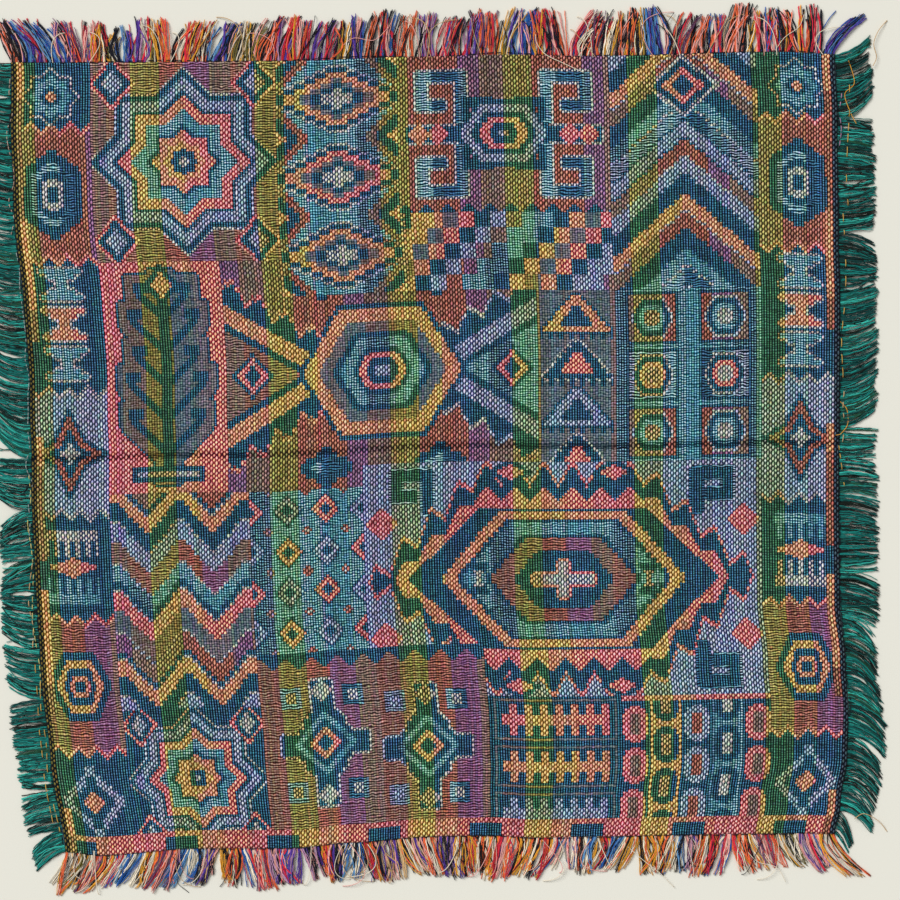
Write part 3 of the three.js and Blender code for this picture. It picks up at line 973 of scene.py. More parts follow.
PAINTERS = {
    "star": paint_star, "lozenges": paint_lozenges, "horns": paint_horns, "chevrons": paint_chevrons,
    "tree": paint_tree, "wedges": paint_wedges, "stairs": paint_stairs, "rosettes": paint_rosettes,
    "zigzags": paint_zigzags, "amulets": paint_amulets, "medallion": paint_medallion,
    "lattice": paint_lattice, "crosses": paint_crosses, "combs": paint_combs, "chains": paint_chains,
    "border": paint_border,
}


def draw_chart():
    """The whole plan of the weave, patch by patch."""
    chart = Chart()
    for painter, far, left, high, wide, ground in PATCHES:
        middle = (far + high / 2, left + wide / 2)
        chart.window = chart.box(*middle, high / 2, wide / 2)
        chart.paint(chart.window, ground)
        PAINTERS[painter](chart, *middle, high, wide)
    chart.window[:] = True
    paint_edging(chart)
    return chart.kind


def settings():
    """The sizes and the dyes that the panel shows."""
    return bpy.context.scene.table_mat_sizes, bpy.context.scene.table_mat_dyes


def add_node(tree, kind, links=None, **values):
    """Adds a node with its settings. An input is given a value, or an output to be linked from."""
    node = tree.nodes.new(kind)
    for name, value in values.items():
        setattr(node, name, value)
    for place, source in (links or {}).items():
        if isinstance(source, bpy.types.NodeSocket):
            tree.links.new(source, node.inputs[place])
        else:
            node.inputs[place].default_value = source
    return node


def start_material(name):
    made = bpy.data.materials.new(name)
    made.use_nodes = True
    made.node_tree.nodes.clear()
    return made, made.node_tree


def end_material(tree, links):
    shader = add_node(tree, "ShaderNodeBsdfPrincipled", links)
    add_node(tree, "ShaderNodeOutputMaterial", {"Surface": shader.outputs["BSDF"]})


def figured_cotton():
    """Mercerised cotton jacquard: its ribs, dots and floats are dyed yarn, matt with a faint nap.
    Its colour also holds painted light: the low places between the threads are painted dark as
    shade, and the tops of the floats are partly painted highlights.
    """
    made, tree = start_material("figured_cotton_jacquard")
    place = add_node(tree, "ShaderNodeAttribute", attribute_name="thread")
    apart = add_node(tree, "ShaderNodeSeparateXYZ", {0: place.outputs["Vector"]})
    weights = add_node(tree, "ShaderNodeAttribute", attribute_name="relief")
    shares = add_node(tree, "ShaderNodeSeparateColor", {0: weights.outputs["Color"]})
    # The place is in threads, so the wander is three threads long and a fibre is half of one.
    wander, fibre = (
        add_node(
            tree, "ShaderNodeTexNoise",
            {"Vector": place.outputs["Vector"], "Scale": scale, "Detail": detail},
        )
        for scale, detail in ((0.33, 1.0), (1.7, 2.0))
    )
    found = {
        "column": apart.outputs["X"], "row": apart.outputs["Y"], "wander": wander.outputs[0],
        "fibre": fibre.outputs[0], "across_share": shares.outputs["Red"],
        "down_share": shares.outputs["Green"], "float_share": shares.outputs["Blue"],
        "plain_share": weights.outputs["Alpha"],
    }
    for name, operation, *inputs in WEAVE_STEPS:
        links = {number: found.get(one, one) for number, one in enumerate(inputs)}
        found[name] = add_node(tree, "ShaderNodeMath", links, operation=operation).outputs[0]
    high = found["high"]
    gap, body, top = (
        add_node(tree, "ShaderNodeAttribute", attribute_name=name).outputs["Color"]
        for name in ("gap", "body", "float")
    )
    # Low places show the near-black dye of the gaps, which is painted shade between the threads,
    # middling ones the body's dye, and the tops the float's dye, which is partly the float's own yarn
    # and partly a painted highlight.
    low_share = add_node(tree, "ShaderNodeMapRange", {0: high, 1: 0.1, 2: 0.42}).outputs[0]
    high_share = add_node(tree, "ShaderNodeMapRange", {0: high, 1: 0.58, 2: 0.9}).outputs[0]
    lower = add_node(
        tree, "ShaderNodeMix", {"Factor": low_share, 6: gap, 7: body}, data_type="RGBA"
    )
    colour = add_node(
        tree, "ShaderNodeMix", {"Factor": high_share, 6: lower.outputs[2], 7: top}, data_type="RGBA"
    )
    bump = add_node(
        tree, "ShaderNodeBump", {"Height": high, "Distance": 0.3 * MM, "Strength": 0.8}
    )
    end_material(tree, {
        "Base Color": colour.outputs[2], "Roughness": 0.85, "IOR": 1.5, "Specular IOR Level": 0.15,
        "Sheen Weight": 0.03, "Sheen Roughness": 0.5, "Normal": bump.outputs[0],
    })
    return made


def cotton_underside(dyes):
    """The back of the jacquard, where the floats of every colour mix to a dull slate."""
    made, tree = start_material("cotton_jacquard_underside")
    place = add_node(tree, "ShaderNodeTexCoord")
    # The threads of the back are 1.4 mm apart, as on the face.
    threads = add_node(tree, "ShaderNodeTexChecker", {
        "Vector": place.outputs["Object"], "Color1": (*dyes.slate, 1), "Color2": (*dyes.midnight, 1),
        "Scale": 1 / (1.4 * MM),
    })
    end_material(tree, {
        "Base Color": threads.outputs["Color"], "Roughness": 0.9, "IOR": 1.5, "Sheen Weight": 0.12,
    })
    return made


def spun_yarn(name):
    """Loosely twisted cotton yarn: dyed through, with the twist as fine slanting ridges whose grooves
    are painted a little darker as shade.
    """
    made, tree = start_material(name)
    dye = add_node(tree, "ShaderNodeAttribute", attribute_name="dye")
    place = add_node(tree, "ShaderNodeAttribute", attribute_name="thread")
    # One turn of the twist is 2.5 mm long. A real one is 1 mm, too fine to see from a metre away.
    twist = add_node(
        tree, "ShaderNodeTexWave",
        {"Vector": place.outputs["Vector"], "Scale": 0.4, "Distortion": 1.0},
        wave_type="BANDS", bands_direction="DIAGONAL",
    )
    # The grooves of the twist are painted about an eighth darker: painted shade.
    shade = add_node(
        tree, "ShaderNodeMix",
        {"Factor": twist.outputs["Fac"], 6: (0.88, 0.88, 0.88, 1), 7: (1, 1, 1, 1)},
        data_type="RGBA",
    )
    colour = add_node(
        tree, "ShaderNodeMix", {"Factor": 1.0, 6: dye.outputs["Color"], 7: shade.outputs[2]},
        data_type="RGBA", blend_type="MULTIPLY",
    )
    bump = add_node(
        tree, "ShaderNodeBump",
        {"Height": twist.outputs["Fac"], "Distance": 0.1 * MM, "Strength": 0.15},
    )
    end_material(tree, {
        "Base Color": colour.outputs[2], "Roughness": 0.8, "IOR": 1.5, "Specular IOR Level": 0.25,
        "Sheen Weight": 0.05, "Sheen Roughness": 0.5, "Normal": bump.outputs[0],
    })
    return made


def painted_board(colour):
    """A wide board with matt paint, even and pale."""
    made, tree = start_material("matt_painted_board")
    end_material(tree, {"Base Color": (*colour, 1), "Roughness": 0.8, "IOR": 1.45})
    return made


def make_piece(name, points, faces, atlas, attributes, materials, face_materials=None):
    """Makes an object of points in millimetres and faces in rows, each row of faces of one size."""
    mesh = bpy.data.meshes.new(name)
    corners = np.concatenate([rows.ravel() for rows in faces])
    sizes = np.concatenate([np.full(len(rows), rows.shape[1]) for rows in faces])
    mesh.vertices.add(len(points))
    mesh.vertices.foreach_set("co", (points * MM).astype(np.float32).ravel())
    mesh.loops.add(len(corners))
    mesh.loops.foreach_set("vertex_index", corners.astype(np.int32))
    mesh.polygons.add(len(sizes))
    mesh.polygons.foreach_set("loop_start", (np.cumsum(sizes) - sizes).astype(np.int32))
    if face_materials is not None:
        mesh.polygons.foreach_set("material_index", face_materials.astype(np.int32))
    mesh.update(calc_edges=True)
    mesh.shade_smooth()
    unwrap = mesh.uv_layers.new(name="OFBake")
    unwrap.data.foreach_set("uv", atlas.astype(np.float32).ravel())
    for label, kind, domain, values in attributes:
        field = "color" if kind == "FLOAT_COLOR" else "vector"
        layer = mesh.attributes.new(label, kind, domain)
        layer.data.foreach_set(field, values.astype(np.float32).ravel())
    if mesh.validate():
        raise RuntimeError(f"{name}: the mesh had faults")
    for made in materials:
        mesh.materials.append(made)
    piece = bpy.data.objects.new(name, mesh)
    bpy.context.collection.objects.link(piece)
    return piece


def soft_noise(rng, shape, size):
    """A smooth random field of about -1 to 1, with features of a size in cells."""
    coarse = [n // size + 4 for n in shape]
    values = rng.uniform(-1, 1, coarse)
    places = [np.arange(n) / size + 1 for n in shape]
    wholes = [place.astype(int) for place in places]
    parts = [place - whole for place, whole in zip(places, wholes)]
    parts = [part * part * (3 - 2 * part) for part in parts]
    part_row, part_column = np.meshgrid(*parts, indexing="ij")
    row, column = np.meshgrid(*wholes, indexing="ij")
    near = mix(values[row, column], values[row, column + 1], part_column)
    far = mix(values[row + 1, column], values[row + 1, column + 1], part_column)
    return mix(near, far, part_row)


def cloth_height(across, down):
    """The height of the cloth's face: its thickness, its slow wave and its two fold marks."""
    place = cloth_point(across, down)
    turns = [TURN * place[..., axis] / length for axis, length in enumerate(WAVE_LENGTHS)]
    height = THICK + WAVE_HIGH * np.sin(turns[0]) * np.cos(turns[1])
    for share, length, fold, deep, swell in (
        (down, EDGES["left"].length, *FOLD_DOWN), (across, EDGES["far"].length, *FOLD_ACROSS),
    ):
        from_fold = (share - fold) * length
        height = height + swell * np.exp(-((from_fold / SWELL_LENGTH) ** 2))
        height = height - deep * np.clip(1 - abs(from_fold) / FOLD_HALF, 0, 1)
    return height


def quads(rows, next_rows):
    """Four-sided faces between the rows of points in a grid and the rows beside them."""
    corners = (rows[:, :-1], rows[:, 1:], next_rows[:, 1:], next_rows[:, :-1])
    return np.stack(corners, -1).reshape(-1, 4)


class TABLEMAT_OT_cloth(bpy.types.Operator):
    """Weaves the cloth from the plan of its patches"""
    bl_idname = "table_mat.cloth"
    bl_label = "Woven Cloth"

    def execute(self, context):
        sizes, dyes = settings()
        rng = np.random.default_rng(CLOTH_SEED)
        grid = (ROWS + 1, COLUMNS + 1)
        down, across = np.mgrid[0:grid[0], 0:grid[1]].astype(float)
        down, across = down / ROWS, across / COLUMNS
        face_points = cloth_point(across, down) + SHIFT
        height = cloth_height(across, down)
        pull = sum(share * soft_noise(rng, grid, size) for size, share in PULLS)
        inside = np.clip(np.minimum(across, 1 - across) * PULL_FADE, 0, 1)
        inside = inside * np.clip(np.minimum(down, 1 - down) * PULL_FADE, 0, 1)
        height = height + sizes.pucker / MM * pull * inside
        top = np.dstack((face_points, height)).reshape(-1, 3)
        blocks_at = (slice(None, None, BLOCK_ROWS), slice(None, None, BLOCK_COLUMNS))
        under_down, under_across = down[blocks_at], across[blocks_at]
        under_points = cloth_point(under_across, under_down) + SHIFT
        under = np.dstack((under_points, np.zeros(under_down.shape))).reshape(-1, 3)

        number = np.arange(len(top)).reshape(grid)
        under_number = np.arange(len(under)).reshape(under_down.shape) + len(top)
        cells, blocks = quads(number[1:], number[:-1]), quads(under_number[:-1], under_number[1:])
        rims = []
        for line, under_line, block in (
            (number[0, ::-1], under_number[0, ::-1], BLOCK_COLUMNS),
            (number[-1], under_number[-1], BLOCK_COLUMNS),
            (number[:, 0], under_number[:, 0], BLOCK_ROWS),
            (number[::-1, -1], under_number[::-1, -1], BLOCK_ROWS),
        ):
            rims.append(np.array([
                [under_line[i], under_line[i + 1], *line[i * block:(i + 1) * block + 1][::-1]]
                for i in range(len(under_line) - 1)
            ]))

        colours, relief = weave_colours(draw_chart(), rng, dyes)
        spare = len(blocks) + sum(len(rim) for rim in rims)
        dull = np.tile((*dyes.slate, 1), (spare, 1))
        attributes = [
            (label, "FLOAT_COLOR", "FACE", np.concatenate((colour, dull)))
            for label, colour in colours.items()
        ]
        flat = np.zeros((spare, 4))
        attributes.append(("relief", "FLOAT_COLOR", "FACE", np.concatenate((relief, flat))))
        thread, under_thread = (
            np.dstack((x * COLUMNS, y * ROWS, 0 * y)).reshape(-1, 3)
            for x, y in ((across, down), (under_across, under_down))
        )
        attributes.append(("thread", "FLOAT_VECTOR", "POINT", np.concatenate((thread, under_thread))))

        share = np.concatenate([
            np.stack((x, 1 - y), -1).reshape(-1, 2)
            for x, y in ((across, down), (under_across, under_down))
        ])
        atlas = [FACE_CORNER + share[cells] * FACE_PART, UNDER_CORNER + share[blocks] * UNDER_PART]
        for turn, rim in enumerate(rims):
            along = share[rim][..., 0 if turn < 2 else 1]
            is_top = np.broadcast_to(np.arange(rim.shape[1]) > 1, along.shape)
            band = RIM_START + RIM_PITCH * turn + RIM_PITCH / 2 * is_top
            atlas.append(np.stack((FACE_CORNER + along * FACE_PART, band), -1))
        atlas = np.concatenate([part.reshape(-1, 2) for part in atlas])
        cloth = make_piece(
            "figured_cloth", np.concatenate((top, under)), [cells, blocks, *rims], atlas, attributes,
            [figured_cotton(), cotton_underside(dyes)], np.repeat((0, 1), (len(cells), spare)),
        )
        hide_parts("woven_cloth")
        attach(cloth, "root")
        return {"FINISHED"}


def weave_colours(kind, rng, dyes):
    """The three colours of each cell, and the waves of its yarn."""
    names, widths = zip(*STRIPES)
    repeat = np.repeat(np.arange(len(names)), widths)
    stripe = repeat[(np.arange(COLUMNS) - FIRST_STRIPE) % len(repeat)]
    table = np.ones((len(KINDS), len(names), 3, 4))
    for k, weave in enumerate(WEAVES.values()):
        for s, name in enumerate(names):
            for layer, dye in enumerate(weave[name].split()):
                table[k, s, layer, :3] = getattr(dyes, dye)
    chosen = table[kind, stripe[None, :]]
    # No two threads take the dye alike.
    shade = 1 + SHADE_WARP * rng.normal(size=(1, COLUMNS)) + SHADE_WEFT * rng.normal(size=(ROWS, 1))
    shade = shade + SHADE_CELL * rng.normal(size=kind.shape)
    shade = shade + SHADE_SOFT * soft_noise(rng, kind.shape, SOFT_CELLS)
    chosen[..., :3] *= np.clip(shade, *SHADES)[..., None, None]
    tint = 1 + TINT_WARP * rng.normal(size=(1, COLUMNS, 1, 3))
    tint = tint + TINT_CELL * rng.normal(size=(*kind.shape, 1, 3))
    chosen[..., :3] = np.clip(chosen[..., :3] * np.clip(tint, *TINTS), 0, 1)
    relief = np.array([RELIEFS[STRUCTURES[name]] for name in KINDS])[kind]
    # A pressed fold parts the floats and shows the gaps under them. The dark dye that this shows along
    # the crease is also painted shade in the crease.
    row, column = np.mgrid[0:ROWS, 0:COLUMNS] + 0.5
    for place, count, fold, gaps in (
        (row, ROWS, FOLD_DOWN[0], FOLD_GAPS_AND_SHADE[0]), (column, COLUMNS, FOLD_ACROSS[0], FOLD_GAPS_AND_SHADE[1]),
    ):
        relief[..., 3] -= gaps * np.exp(-(((place - fold * count) / FOLD_ROWS) ** 2))
    # The first colour is painted shade between the threads, the second the body's dye, and the last
    # partly the floats' own yarn and partly a painted highlight.
    colours = {
        label: chosen[..., layer, :].reshape(-1, 4)
        for layer, label in enumerate(("gap", "body", "float"))
    }
    return colours, relief.reshape(-1, 4)


def fringe_locks(side, gather):
    """The locks of a fringe: where each one's root and tip are along its edge, its width and reach."""
    edge = EDGES[side]
    stretch = edge.length / sum(clump[0] for clump in CLUMPS[side])
    locks = []
    start = 0.0
    for order, (width, lean, reach, fill) in enumerate(CLUMPS[side]):
        wide = width * stretch
        count = max(1, round(wide * fill / LOCK_PITCH))
        middle = start + wide / 2
        for i in range(count):
            root = start + wide * (i + 0.5) / count
            locks.append({
                "root": root, "tip": mix(root, middle, gather) + lean,
                "wide": min(LOCK_WIDEST, LOCK_FILLS * wide / count), "room": wide / count,
                "reach": reach - SHORTER * ((i + order) % 2),
            })
        start += wide
    tips = [lock["tip"] for lock in locks]
    onward, back = tips[:], tips[:]
    for i in range(1, len(tips)):
        onward[i] = max(tips[i], onward[i - 1] + TIPS_APART)
    for i in range(len(tips) - 2, -1, -1):
        back[i] = min(tips[i], back[i + 1] - TIPS_APART)
    for lock, one, other in zip(locks, onward, back):
        lock["tip"] = (one + other) / 2
    return locks


def tubes(paths, radii):
    """Tubes along paths: their points, side faces and end faces. Paths is (yarn, ring, 3)."""
    count, rings = paths.shape[:2]
    ahead = np.gradient(paths, axis=1)
    ahead /= np.linalg.norm(ahead, axis=2, keepdims=True) + 1e-9
    side = np.cross(ahead, (0, 0, 1.0))
    side /= np.linalg.norm(side, axis=2, keepdims=True) + 1e-9
    up = np.cross(side, ahead)
    angles = TURN * (np.arange(SIDES) + 0.5) / SIDES
    spread = np.cos(angles)[:, None] * side[:, :, None] + np.sin(angles)[:, None] * up[:, :, None]
    points = paths[:, :, None] + radii[:, :, None, None] * spread
    number = np.arange(count * rings * SIDES).reshape(count, rings, SIDES)
    turned = np.roll(number, -1, axis=2)
    sides = np.stack((number[:, :-1], turned[:, :-1], turned[:, 1:], number[:, 1:]), -1)
    ends = np.concatenate((number[:, 0, ::-1], number[:, -1]))
    return points.reshape(-1, 3), sides.reshape(-1, 4), ends


def tube_atlas(count, rings):
    """An unwrap with a small square of its own for each tube: its sides, then its two ends."""
    across = math.ceil(math.sqrt(count))
    order = np.arange(count)
    origin = np.stack((order % across, order // across), -1) / across
    around = np.arange(SIDES + 1) / SIDES * YARN_AROUND + YARN_MARGIN
    along = np.arange(rings) / (rings - 1) * YARN_ALONG + YARN_FOOT
    corner_around = np.stack((around[:-1], around[1:], around[1:], around[:-1]), -1)
    corner_along = np.stack((along[:-1], along[:-1], along[1:], along[1:]), -1)
    sides = np.empty((count, rings - 1, SIDES, 4, 2))
    sides[..., 0] = origin[:, 0, None, None, None] + corner_around[None, None] / across
    sides[..., 1] = origin[:, 1, None, None, None] + corner_along[None, :, None] / across
    square = np.array(((0, 0), (1, 0), (1, 1), (0, 1)), float) * YARN_END + YARN_MARGIN
    ends = [origin[:, None] + (square + (shift, 0)) / across for shift in (0, YARN_ENDS_APART)]
    return np.concatenate([part.reshape(-1, 2) for part in (sides, *ends)])


def make_yarn(name, laid, material):
    """Makes one object of yarns. Each is a path, a radius at each ring of it and a colour."""
    paths, radii, colours = (np.array(part) for part in zip(*laid))
    count, rings = paths.shape[:2]
    points, sides, ends = tubes(paths, radii)
    run = np.cumsum(np.linalg.norm(np.diff(paths, axis=1, prepend=paths[:, :1]), axis=2), axis=1)
    thread = np.zeros((count, rings, SIDES, 3))
    thread[..., 0] = run[..., None]
    thread[..., 1] = np.arange(SIDES) / SIDES
    # Each yarn has its twist at another place in the pattern.
    thread[..., 2] = np.arange(count)[:, None, None] * 3.7
    dye = np.ones((count, rings, SIDES, 4))
    dye[..., :3] = colours[:, None, None]
    attributes = [
        ("dye", "FLOAT_COLOR", "POINT", dye.reshape(-1, 4)),
        ("thread", "FLOAT_VECTOR", "POINT", thread.reshape(-1, 3)),
    ]
    return make_piece(name, points, [sides, ends], tube_atlas(count, rings), attributes, [material])


def lay_lock(rng, edge, lock, yarn, radius, tuck):
    """Paths and radii for the yarns of one lock, strand by strand, and the strand of each."""
    share = np.linspace(0, 1, RINGS)
    # A yarn has come free of the cloth at a fifth of its length and sways in full from a quarter on.
    freed, eased = np.clip(share * 5, 0, 1), np.clip(share * 4, 0, 1)
    hump = np.sin(math.pi * np.clip(share * 0.8 + 0.1, 0, 1))

    def crimp(size, waves):
        return size * np.sin(TURN * (waves * share + rng.random())) * eased

    for strand in range(yarn["strands"]):
        middle = (strand + 0.5) / yarn["strands"] * 2 - 1
        strand_bow, strand_tip = rng.normal() * yarn["strand_bow"], rng.normal() * yarn["stray"]
        strand_reach = 1 - yarn["ragged"] * rng.random() ** 2
        bow_turns, layer = rng.uniform(*BOW_TURNS), rng.random()
        for order in range(yarn["yarns"]):
            place = middle + ((order + 0.5) / yarn["yarns"] * 2 - 1) / yarn["strands"]
            root = lock["root"] + place * lock["room"] / 2
            root = np.clip(root, OFF_CORNER, edge.length - OFF_CORNER)
            stray = strand_tip + rng.normal() * OWN_STRAY * yarn["stray"]
            if rng.random() < WILD_SHARE:
                stray += rng.normal() * WILD_STRAY
            tip = lock["tip"] + place * lock["wide"] * yarn["splay"] + stray
            reach = lock["reach"] * strand_reach * rng.uniform(*REACHES)
            bow = strand_bow + rng.normal() * yarn["yarn_bow"]
            sway = bow * np.sin(math.pi * share * bow_turns) * eased + crimp(*CRIMP_ASIDE)
            along = mix(root, tip, share ** (yarn["bend"] + rng.normal() * OWN_BEND)) + sway
            out = -tuck + (reach + tuck) * share + edge.bow(root / edge.length)
            inside = mix(OFF_FACE, THICK - OFF_FACE, layer)
            level = mix(inside, radius + yarn["loft"] * layer * hump, freed) + crimp(*CRIMP_UP)
            level = np.maximum(level, radius + OFF_FLOOR)
            path = np.column_stack((edge.place(along, out) + SHIFT, level))
            yield strand, path, radius * (1 - TAPER * share ** 4) * rng.uniform(*THICKNESSES)


def make_fringe(name, side, yarn, material):
    """Makes the yarns of one fringe: each leaves the cloth's edge in its lock and lies on the floor."""
    sizes, dyes = settings()
    rng = np.random.default_rng(sum(map(ord, name)))
    radius, tuck = getattr(sizes, yarn["slot"]) / MM / 2, sizes.tuck / MM
    groups = [group.split() for group in FRINGE_DYES[side]]
    laid = []
    for lock in fringe_locks(side, yarn["gather"]):
        group = rng.permutation(groups[rng.integers(len(groups))])
        for strand, path, radii in lay_lock(rng, EDGES[side], lock, yarn, radius, tuck):
            # The yarns of a strand share its dye, but for an odd one.
            dye = group[strand % len(group)] if rng.random() < yarn["loyal"] else rng.choice(group)
            # A yarn's random shade is partly uneven dye and partly painted shade between the yarns.
            laid.append((path, radii, np.array(getattr(dyes, dye)) * rng.uniform(*yarn["shade"])))
    fringe = make_yarn(f"{name}_yarn", laid, material)
    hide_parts(name)
    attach(fringe, "root")


class TABLEMAT_OT_warp_fringes(bpy.types.Operator):
    """Makes the fringes at the far and near sides, of crimped yarn in many colours"""
    bl_idname = "table_mat.warp_fringes"
    bl_label = "Warp Fringes"

    def execute(self, context):
        material = spun_yarn("crimped_warp_cotton")
        make_fringe("warp_fringe_far", "far", WARP_YARN, material)
        make_fringe("warp_fringe_near", "near", WARP_YARN, material)
        return {"FINISHED"}


class TABLEMAT_OT_weft_fringes(bpy.types.Operator):
    """Makes the fringes at the left and right sides, of straighter green and teal yarn"""
    bl_idname = "table_mat.weft_fringes"
    bl_label = "Weft Fringes"

    def execute(self, context):
        material = spun_yarn("soft_weft_cotton")
        make_fringe("weft_fringe_left", "left", WEFT_YARN, material)
        make_fringe("weft_fringe_right", "right", WEFT_YARN, material)
        return {"FINISHED"}


def smooth_line(points, count):
    """A smooth line through points, as a Catmull-Rom curve with a number of places on it."""
    points = np.array([points[0], *points, points[-1]], float)
    place = np.linspace(0, len(points) - 3.001, count)
    whole = place.astype(int)
    part = (place - whole)[:, None]
    a, b, c, d = (points[whole + i] for i in range(4))
    return 0.5 * (
        2 * b + (c - a) * part + (2 * a - 5 * b + 4 * c - d) * part ** 2
        + (3 * b - a - 3 * c + d) * part ** 3
    )


def running_threads(rng, thick, dyes):
    """The floats of the running threads. A thread dips out of sight between two of its floats."""
    arch = np.sin(math.pi * np.linspace(0, 1, FLOAT_RINGS))
    for side, first, last, out_first, out_last, dye, float_long in RUNNING_THREADS:
        edge = EDGES[side]
        count = int((last - first) * edge.length / (2 * float_long))
        wander, hidden, top = ON_FRINGE if out_first > EDGE_OUT else ON_EDGE
        # The thread strays softly, over about four floats at a time.
        line = np.linspace(0, 1, 8 * count + 1)
        stray = smooth_line(rng.normal(size=(count // 4 + 3, 1)) * wander, len(line))[:, 0]
        out = mix(out_first, out_last, line) + stray
        for turn in range(count):
            if rng.random() < hidden:
                continue
            start, end = rng.uniform(*FLOAT_STARTS), rng.uniform(*FLOAT_ENDS)
            run = (turn + np.linspace(start, end, FLOAT_RINGS)) / count
            place = mix(first, last, run)
            flat = edge.place(place * edge.length, edge.bow(place) + np.interp(run, line, out))
            path = np.column_stack((flat + SHIFT, top - FLOAT_DIPS + FLOAT_RISES * arch))
            shade = np.array(getattr(dyes, dye)) * rng.uniform(*FLOAT_SHADES)
            yield path, np.full(FLOAT_RINGS, thick / 2), shade


def loose_ends(dyes):
    """The loose threads, each on whatever is under it: the cloth, the fringe or the floor."""
    for dye, thick, points in LOOSE_THREADS:
        flat = smooth_line(points, LOOSE_RINGS)
        inside = np.min(np.array(HALF_CLOTH) - abs(flat), axis=1)
        level = np.where(inside > 0, THICK + OFF_CLOTH, 0.0) + thick / 2
        # The thread is stiff, so its way down from the cloth takes nine rings.
        level = np.convolve(np.pad(level, 4, mode="edge"), np.ones(9) / 9, mode="valid")
        on_fringe = np.clip(1 - abs(inside + FRINGE_MIDDLE) / FRINGE_HALF, 0, 1)
        level = np.maximum(level, thick / 2 + OFF_FLOOR + FRINGE_HIGH * on_fringe ** 0.5)
        path = np.column_stack((flat + SHIFT, level))
        yield path, np.full(LOOSE_RINGS, thick / 2), np.array(getattr(dyes, dye))


def hairs(rng, dyes):
    """Curved hairs from the cloth's edge over the yarn, each down to the floor at its tip."""
    share = np.linspace(0, 1, LOOSE_RINGS)
    level = HAIR_LOW + HAIR_HIGH * abs(np.sin(math.pi * (0.25 + 0.75 * share))) ** 0.7
    for side in ("far", "near"):
        edge = EDGES[side]
        for _ in range(HAIRS):
            start = rng.uniform(HAIR_OFF_CORNER, edge.length - HAIR_OFF_CORNER)
            reach = rng.uniform(*HAIR_REACH)
            lean, bow = rng.uniform(-HAIR_LEAN, HAIR_LEAN), rng.normal() * HAIR_BOW
            along = start + lean * share ** 2 + bow * np.sin(math.pi * share)
            flat = edge.place(along, reach * np.sin(math.pi / 2 * share) - HAIR_TUCK) + SHIFT
            radii = np.full(LOOSE_RINGS, rng.uniform(*HAIR_RADIUS))
            yield np.column_stack((flat, level)), radii, np.array(getattr(dyes, rng.choice(HAIR_DYES)))


class TABLEMAT_OT_loose_threads(bpy.types.Operator):
    """Lays the threads that run along the edges, over and under the yarn, and the loose ends"""
    bl_idname = "table_mat.loose_threads"
    bl_label = "Loose Threads"

    def execute(self, context):
        sizes, dyes = settings()
        rng = np.random.default_rng(THREAD_SEED)
        edging = list(running_threads(rng, sizes.thread / MM, dyes))
        loose = [*loose_ends(dyes), *hairs(rng, dyes)]
        for name, laid in (("edging_threads", edging), ("loose_threads", loose)):
            piece = make_yarn(name, laid, spun_yarn(name.removesuffix("s")))
            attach(piece, "root")
        return {"FINISHED"}


class TABLEMAT_OT_stage(bpy.types.Operator):
    """Lays the pale floor and sets the softbox, the light from all round and the camera"""
    bl_idname = "table_mat.stage"
    bl_label = "Stage"

    def execute(self, context):
        sizes, _ = settings()
        half = sizes.floor / 2
        mesh = bpy.data.meshes.new("floor")
        corners = [(-half, -half, 0), (half, -half, 0), (half, half, 0), (-half, half, 0)]
        mesh.from_pydata(corners, [], [(0, 1, 2, 3)])
        mesh.materials.append(painted_board(sizes.floor_colour))
        floor = bpy.data.objects.new("floor", mesh)
        floor.location.z = -FLOOR_DROP * MM
        context.collection.objects.link(floor)
        floor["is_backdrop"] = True

        # A wide softbox so far off that it lights all of the floor alike.
        lamp_data = bpy.data.lights.new("far_softbox", "SUN")
        lamp_data.angle = sizes.lamp_width
        lamp_data.energy = sizes.lamp
        lamp = bpy.data.objects.new("far_softbox", lamp_data)
        lamp.location = SOFTBOX_PLACE
        lamp.rotation_euler = lamp.location.to_track_quat("Z", "Y").to_euler()
        context.collection.objects.link(lamp)

        world = bpy.data.worlds.new("studio")
        world.use_nodes = True
        background = world.node_tree.nodes["Background"]
        background.inputs["Color"].default_value = (*sizes.sky_colour, 1)
        background.inputs["Strength"].default_value = sizes.sky
        context.scene.world = world
        context.scene.view_settings.view_transform = "Standard"

        camera_data = bpy.data.cameras.new("camera")
        camera_data.lens = camera_data.sensor_width * sizes.camera_high / sizes.view_width
        camera = bpy.data.objects.new("camera", camera_data)
        camera.location = (*(SHIFT * MM), sizes.camera_high)
        context.collection.objects.link(camera)
        context.scene.camera = camera
        return {"FINISHED"}


def number_setting(label, note, default, **more):
    """A property that a user may change, of at least 0."""
    return bpy.props.FloatProperty(name=label, description=note, default=default, min=0, **more)


def length_setting(label, note, default):
    return number_setting(label, note, default, subtype="DISTANCE", unit="LENGTH")


def colour_setting(label, note, default):
    return bpy.props.FloatVectorProperty(
        name=label, description=note, default=linear(default), min=0, max=1, subtype="COLOR"
    )


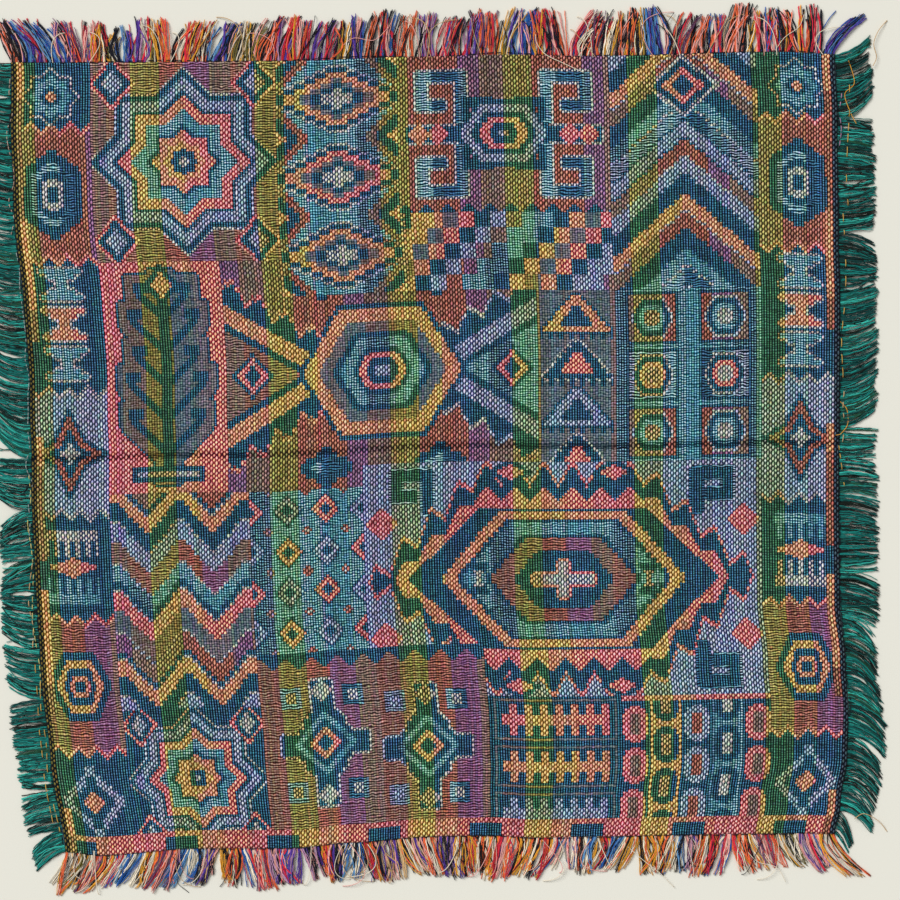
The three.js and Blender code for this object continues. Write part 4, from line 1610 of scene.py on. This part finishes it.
class TableMatSizes(bpy.types.PropertyGroup):
    """The sizes of the yarn, the cloth and the stage."""
    pucker: length_setting("Pucker", "How far the cloth's face rises and falls", 0.09 * MM)
    warp_yarn: length_setting("Warp Yarn", "Thickness of the far and near fringe yarn", 0.62 * MM)
    weft_yarn: length_setting("Weft Yarn", "Thickness of the left and right fringe yarn", 0.6 * MM)
    tuck: length_setting("Tuck", "How far the fringe yarn starts inside the cloth", 0.8 * MM)
    thread: length_setting("Edging Thread", "Thickness of the threads along the edges", 0.56 * MM)
    floor: length_setting("Floor", "Width of the floor", 4.0)
    floor_colour: colour_setting("Floor Colour", "Colour of the floor", "#e8e6da")
    sky_colour: colour_setting("Sky Colour", "Colour of the light from all round", "#ffffff")
    sky: number_setting("Sky", "Strength of the light from all round", 0.42)
    lamp: number_setting("Lamp", "Strength of the softbox", 2.5)
    lamp_width: number_setting(
        "Lamp Width", "Angle that the softbox spans", math.radians(36), subtype="ANGLE"
    )
    camera_high: length_setting("Camera Height", "Height of the camera over the floor", 1.2)
    view_width: length_setting("View Width", "Width of the floor that the camera sees", 0.486)


class TableMatDyes(bpy.types.PropertyGroup):
    """The colours of the yarns."""
    __annotations__ = {
        dye: colour_setting(dye.replace("_", " ").title(), f"Colour of the {dye} yarn", shade)
        for dye, shade in DYES.items()
    }


OPERATORS = (
    TABLEMAT_OT_cloth, TABLEMAT_OT_warp_fringes, TABLEMAT_OT_weft_fringes, TABLEMAT_OT_loose_threads,
    TABLEMAT_OT_stage,
)


class TABLEMAT_PT_panel(bpy.types.Panel):
    """Lists the sizes, the dyes and the pieces"""
    bl_idname = "TABLEMAT_PT_panel"
    bl_label = "Table Mat"
    bl_space_type = "VIEW_3D"
    bl_region_type = "UI"
    bl_category = "Table Mat"

    def draw(self, context):
        for group in settings():
            column = self.layout.column(align=True)
            for name in group.__annotations__:
                column.prop(group, name)
        for operator in OPERATORS:
            self.layout.operator(operator.bl_idname)


CLASSES = (TableMatSizes, TableMatDyes, *OPERATORS, TABLEMAT_PT_panel)


def register():
    for one in CLASSES:
        bpy.utils.register_class(one)
    bpy.types.Scene.table_mat_sizes = bpy.props.PointerProperty(type=TableMatSizes)
    bpy.types.Scene.table_mat_dyes = bpy.props.PointerProperty(type=TableMatDyes)


def unregister():
    del bpy.types.Scene.table_mat_dyes
    del bpy.types.Scene.table_mat_sizes
    for one in reversed(CLASSES):
        bpy.utils.unregister_class(one)


def main():
    register()
    bpy.ops.table_mat.cloth()
    bpy.ops.table_mat.warp_fringes()
    bpy.ops.table_mat.weft_fringes()
    bpy.ops.table_mat.loose_threads()
    bpy.ops.table_mat.stage()
    bpy.context.view_layer.update()
    boxes = {"cad": CAD_BOX, "scene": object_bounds()}
    {name: [list(corner) for corner in box] for name, box in boxes.items()}


if __name__ == "__main__":
    main()
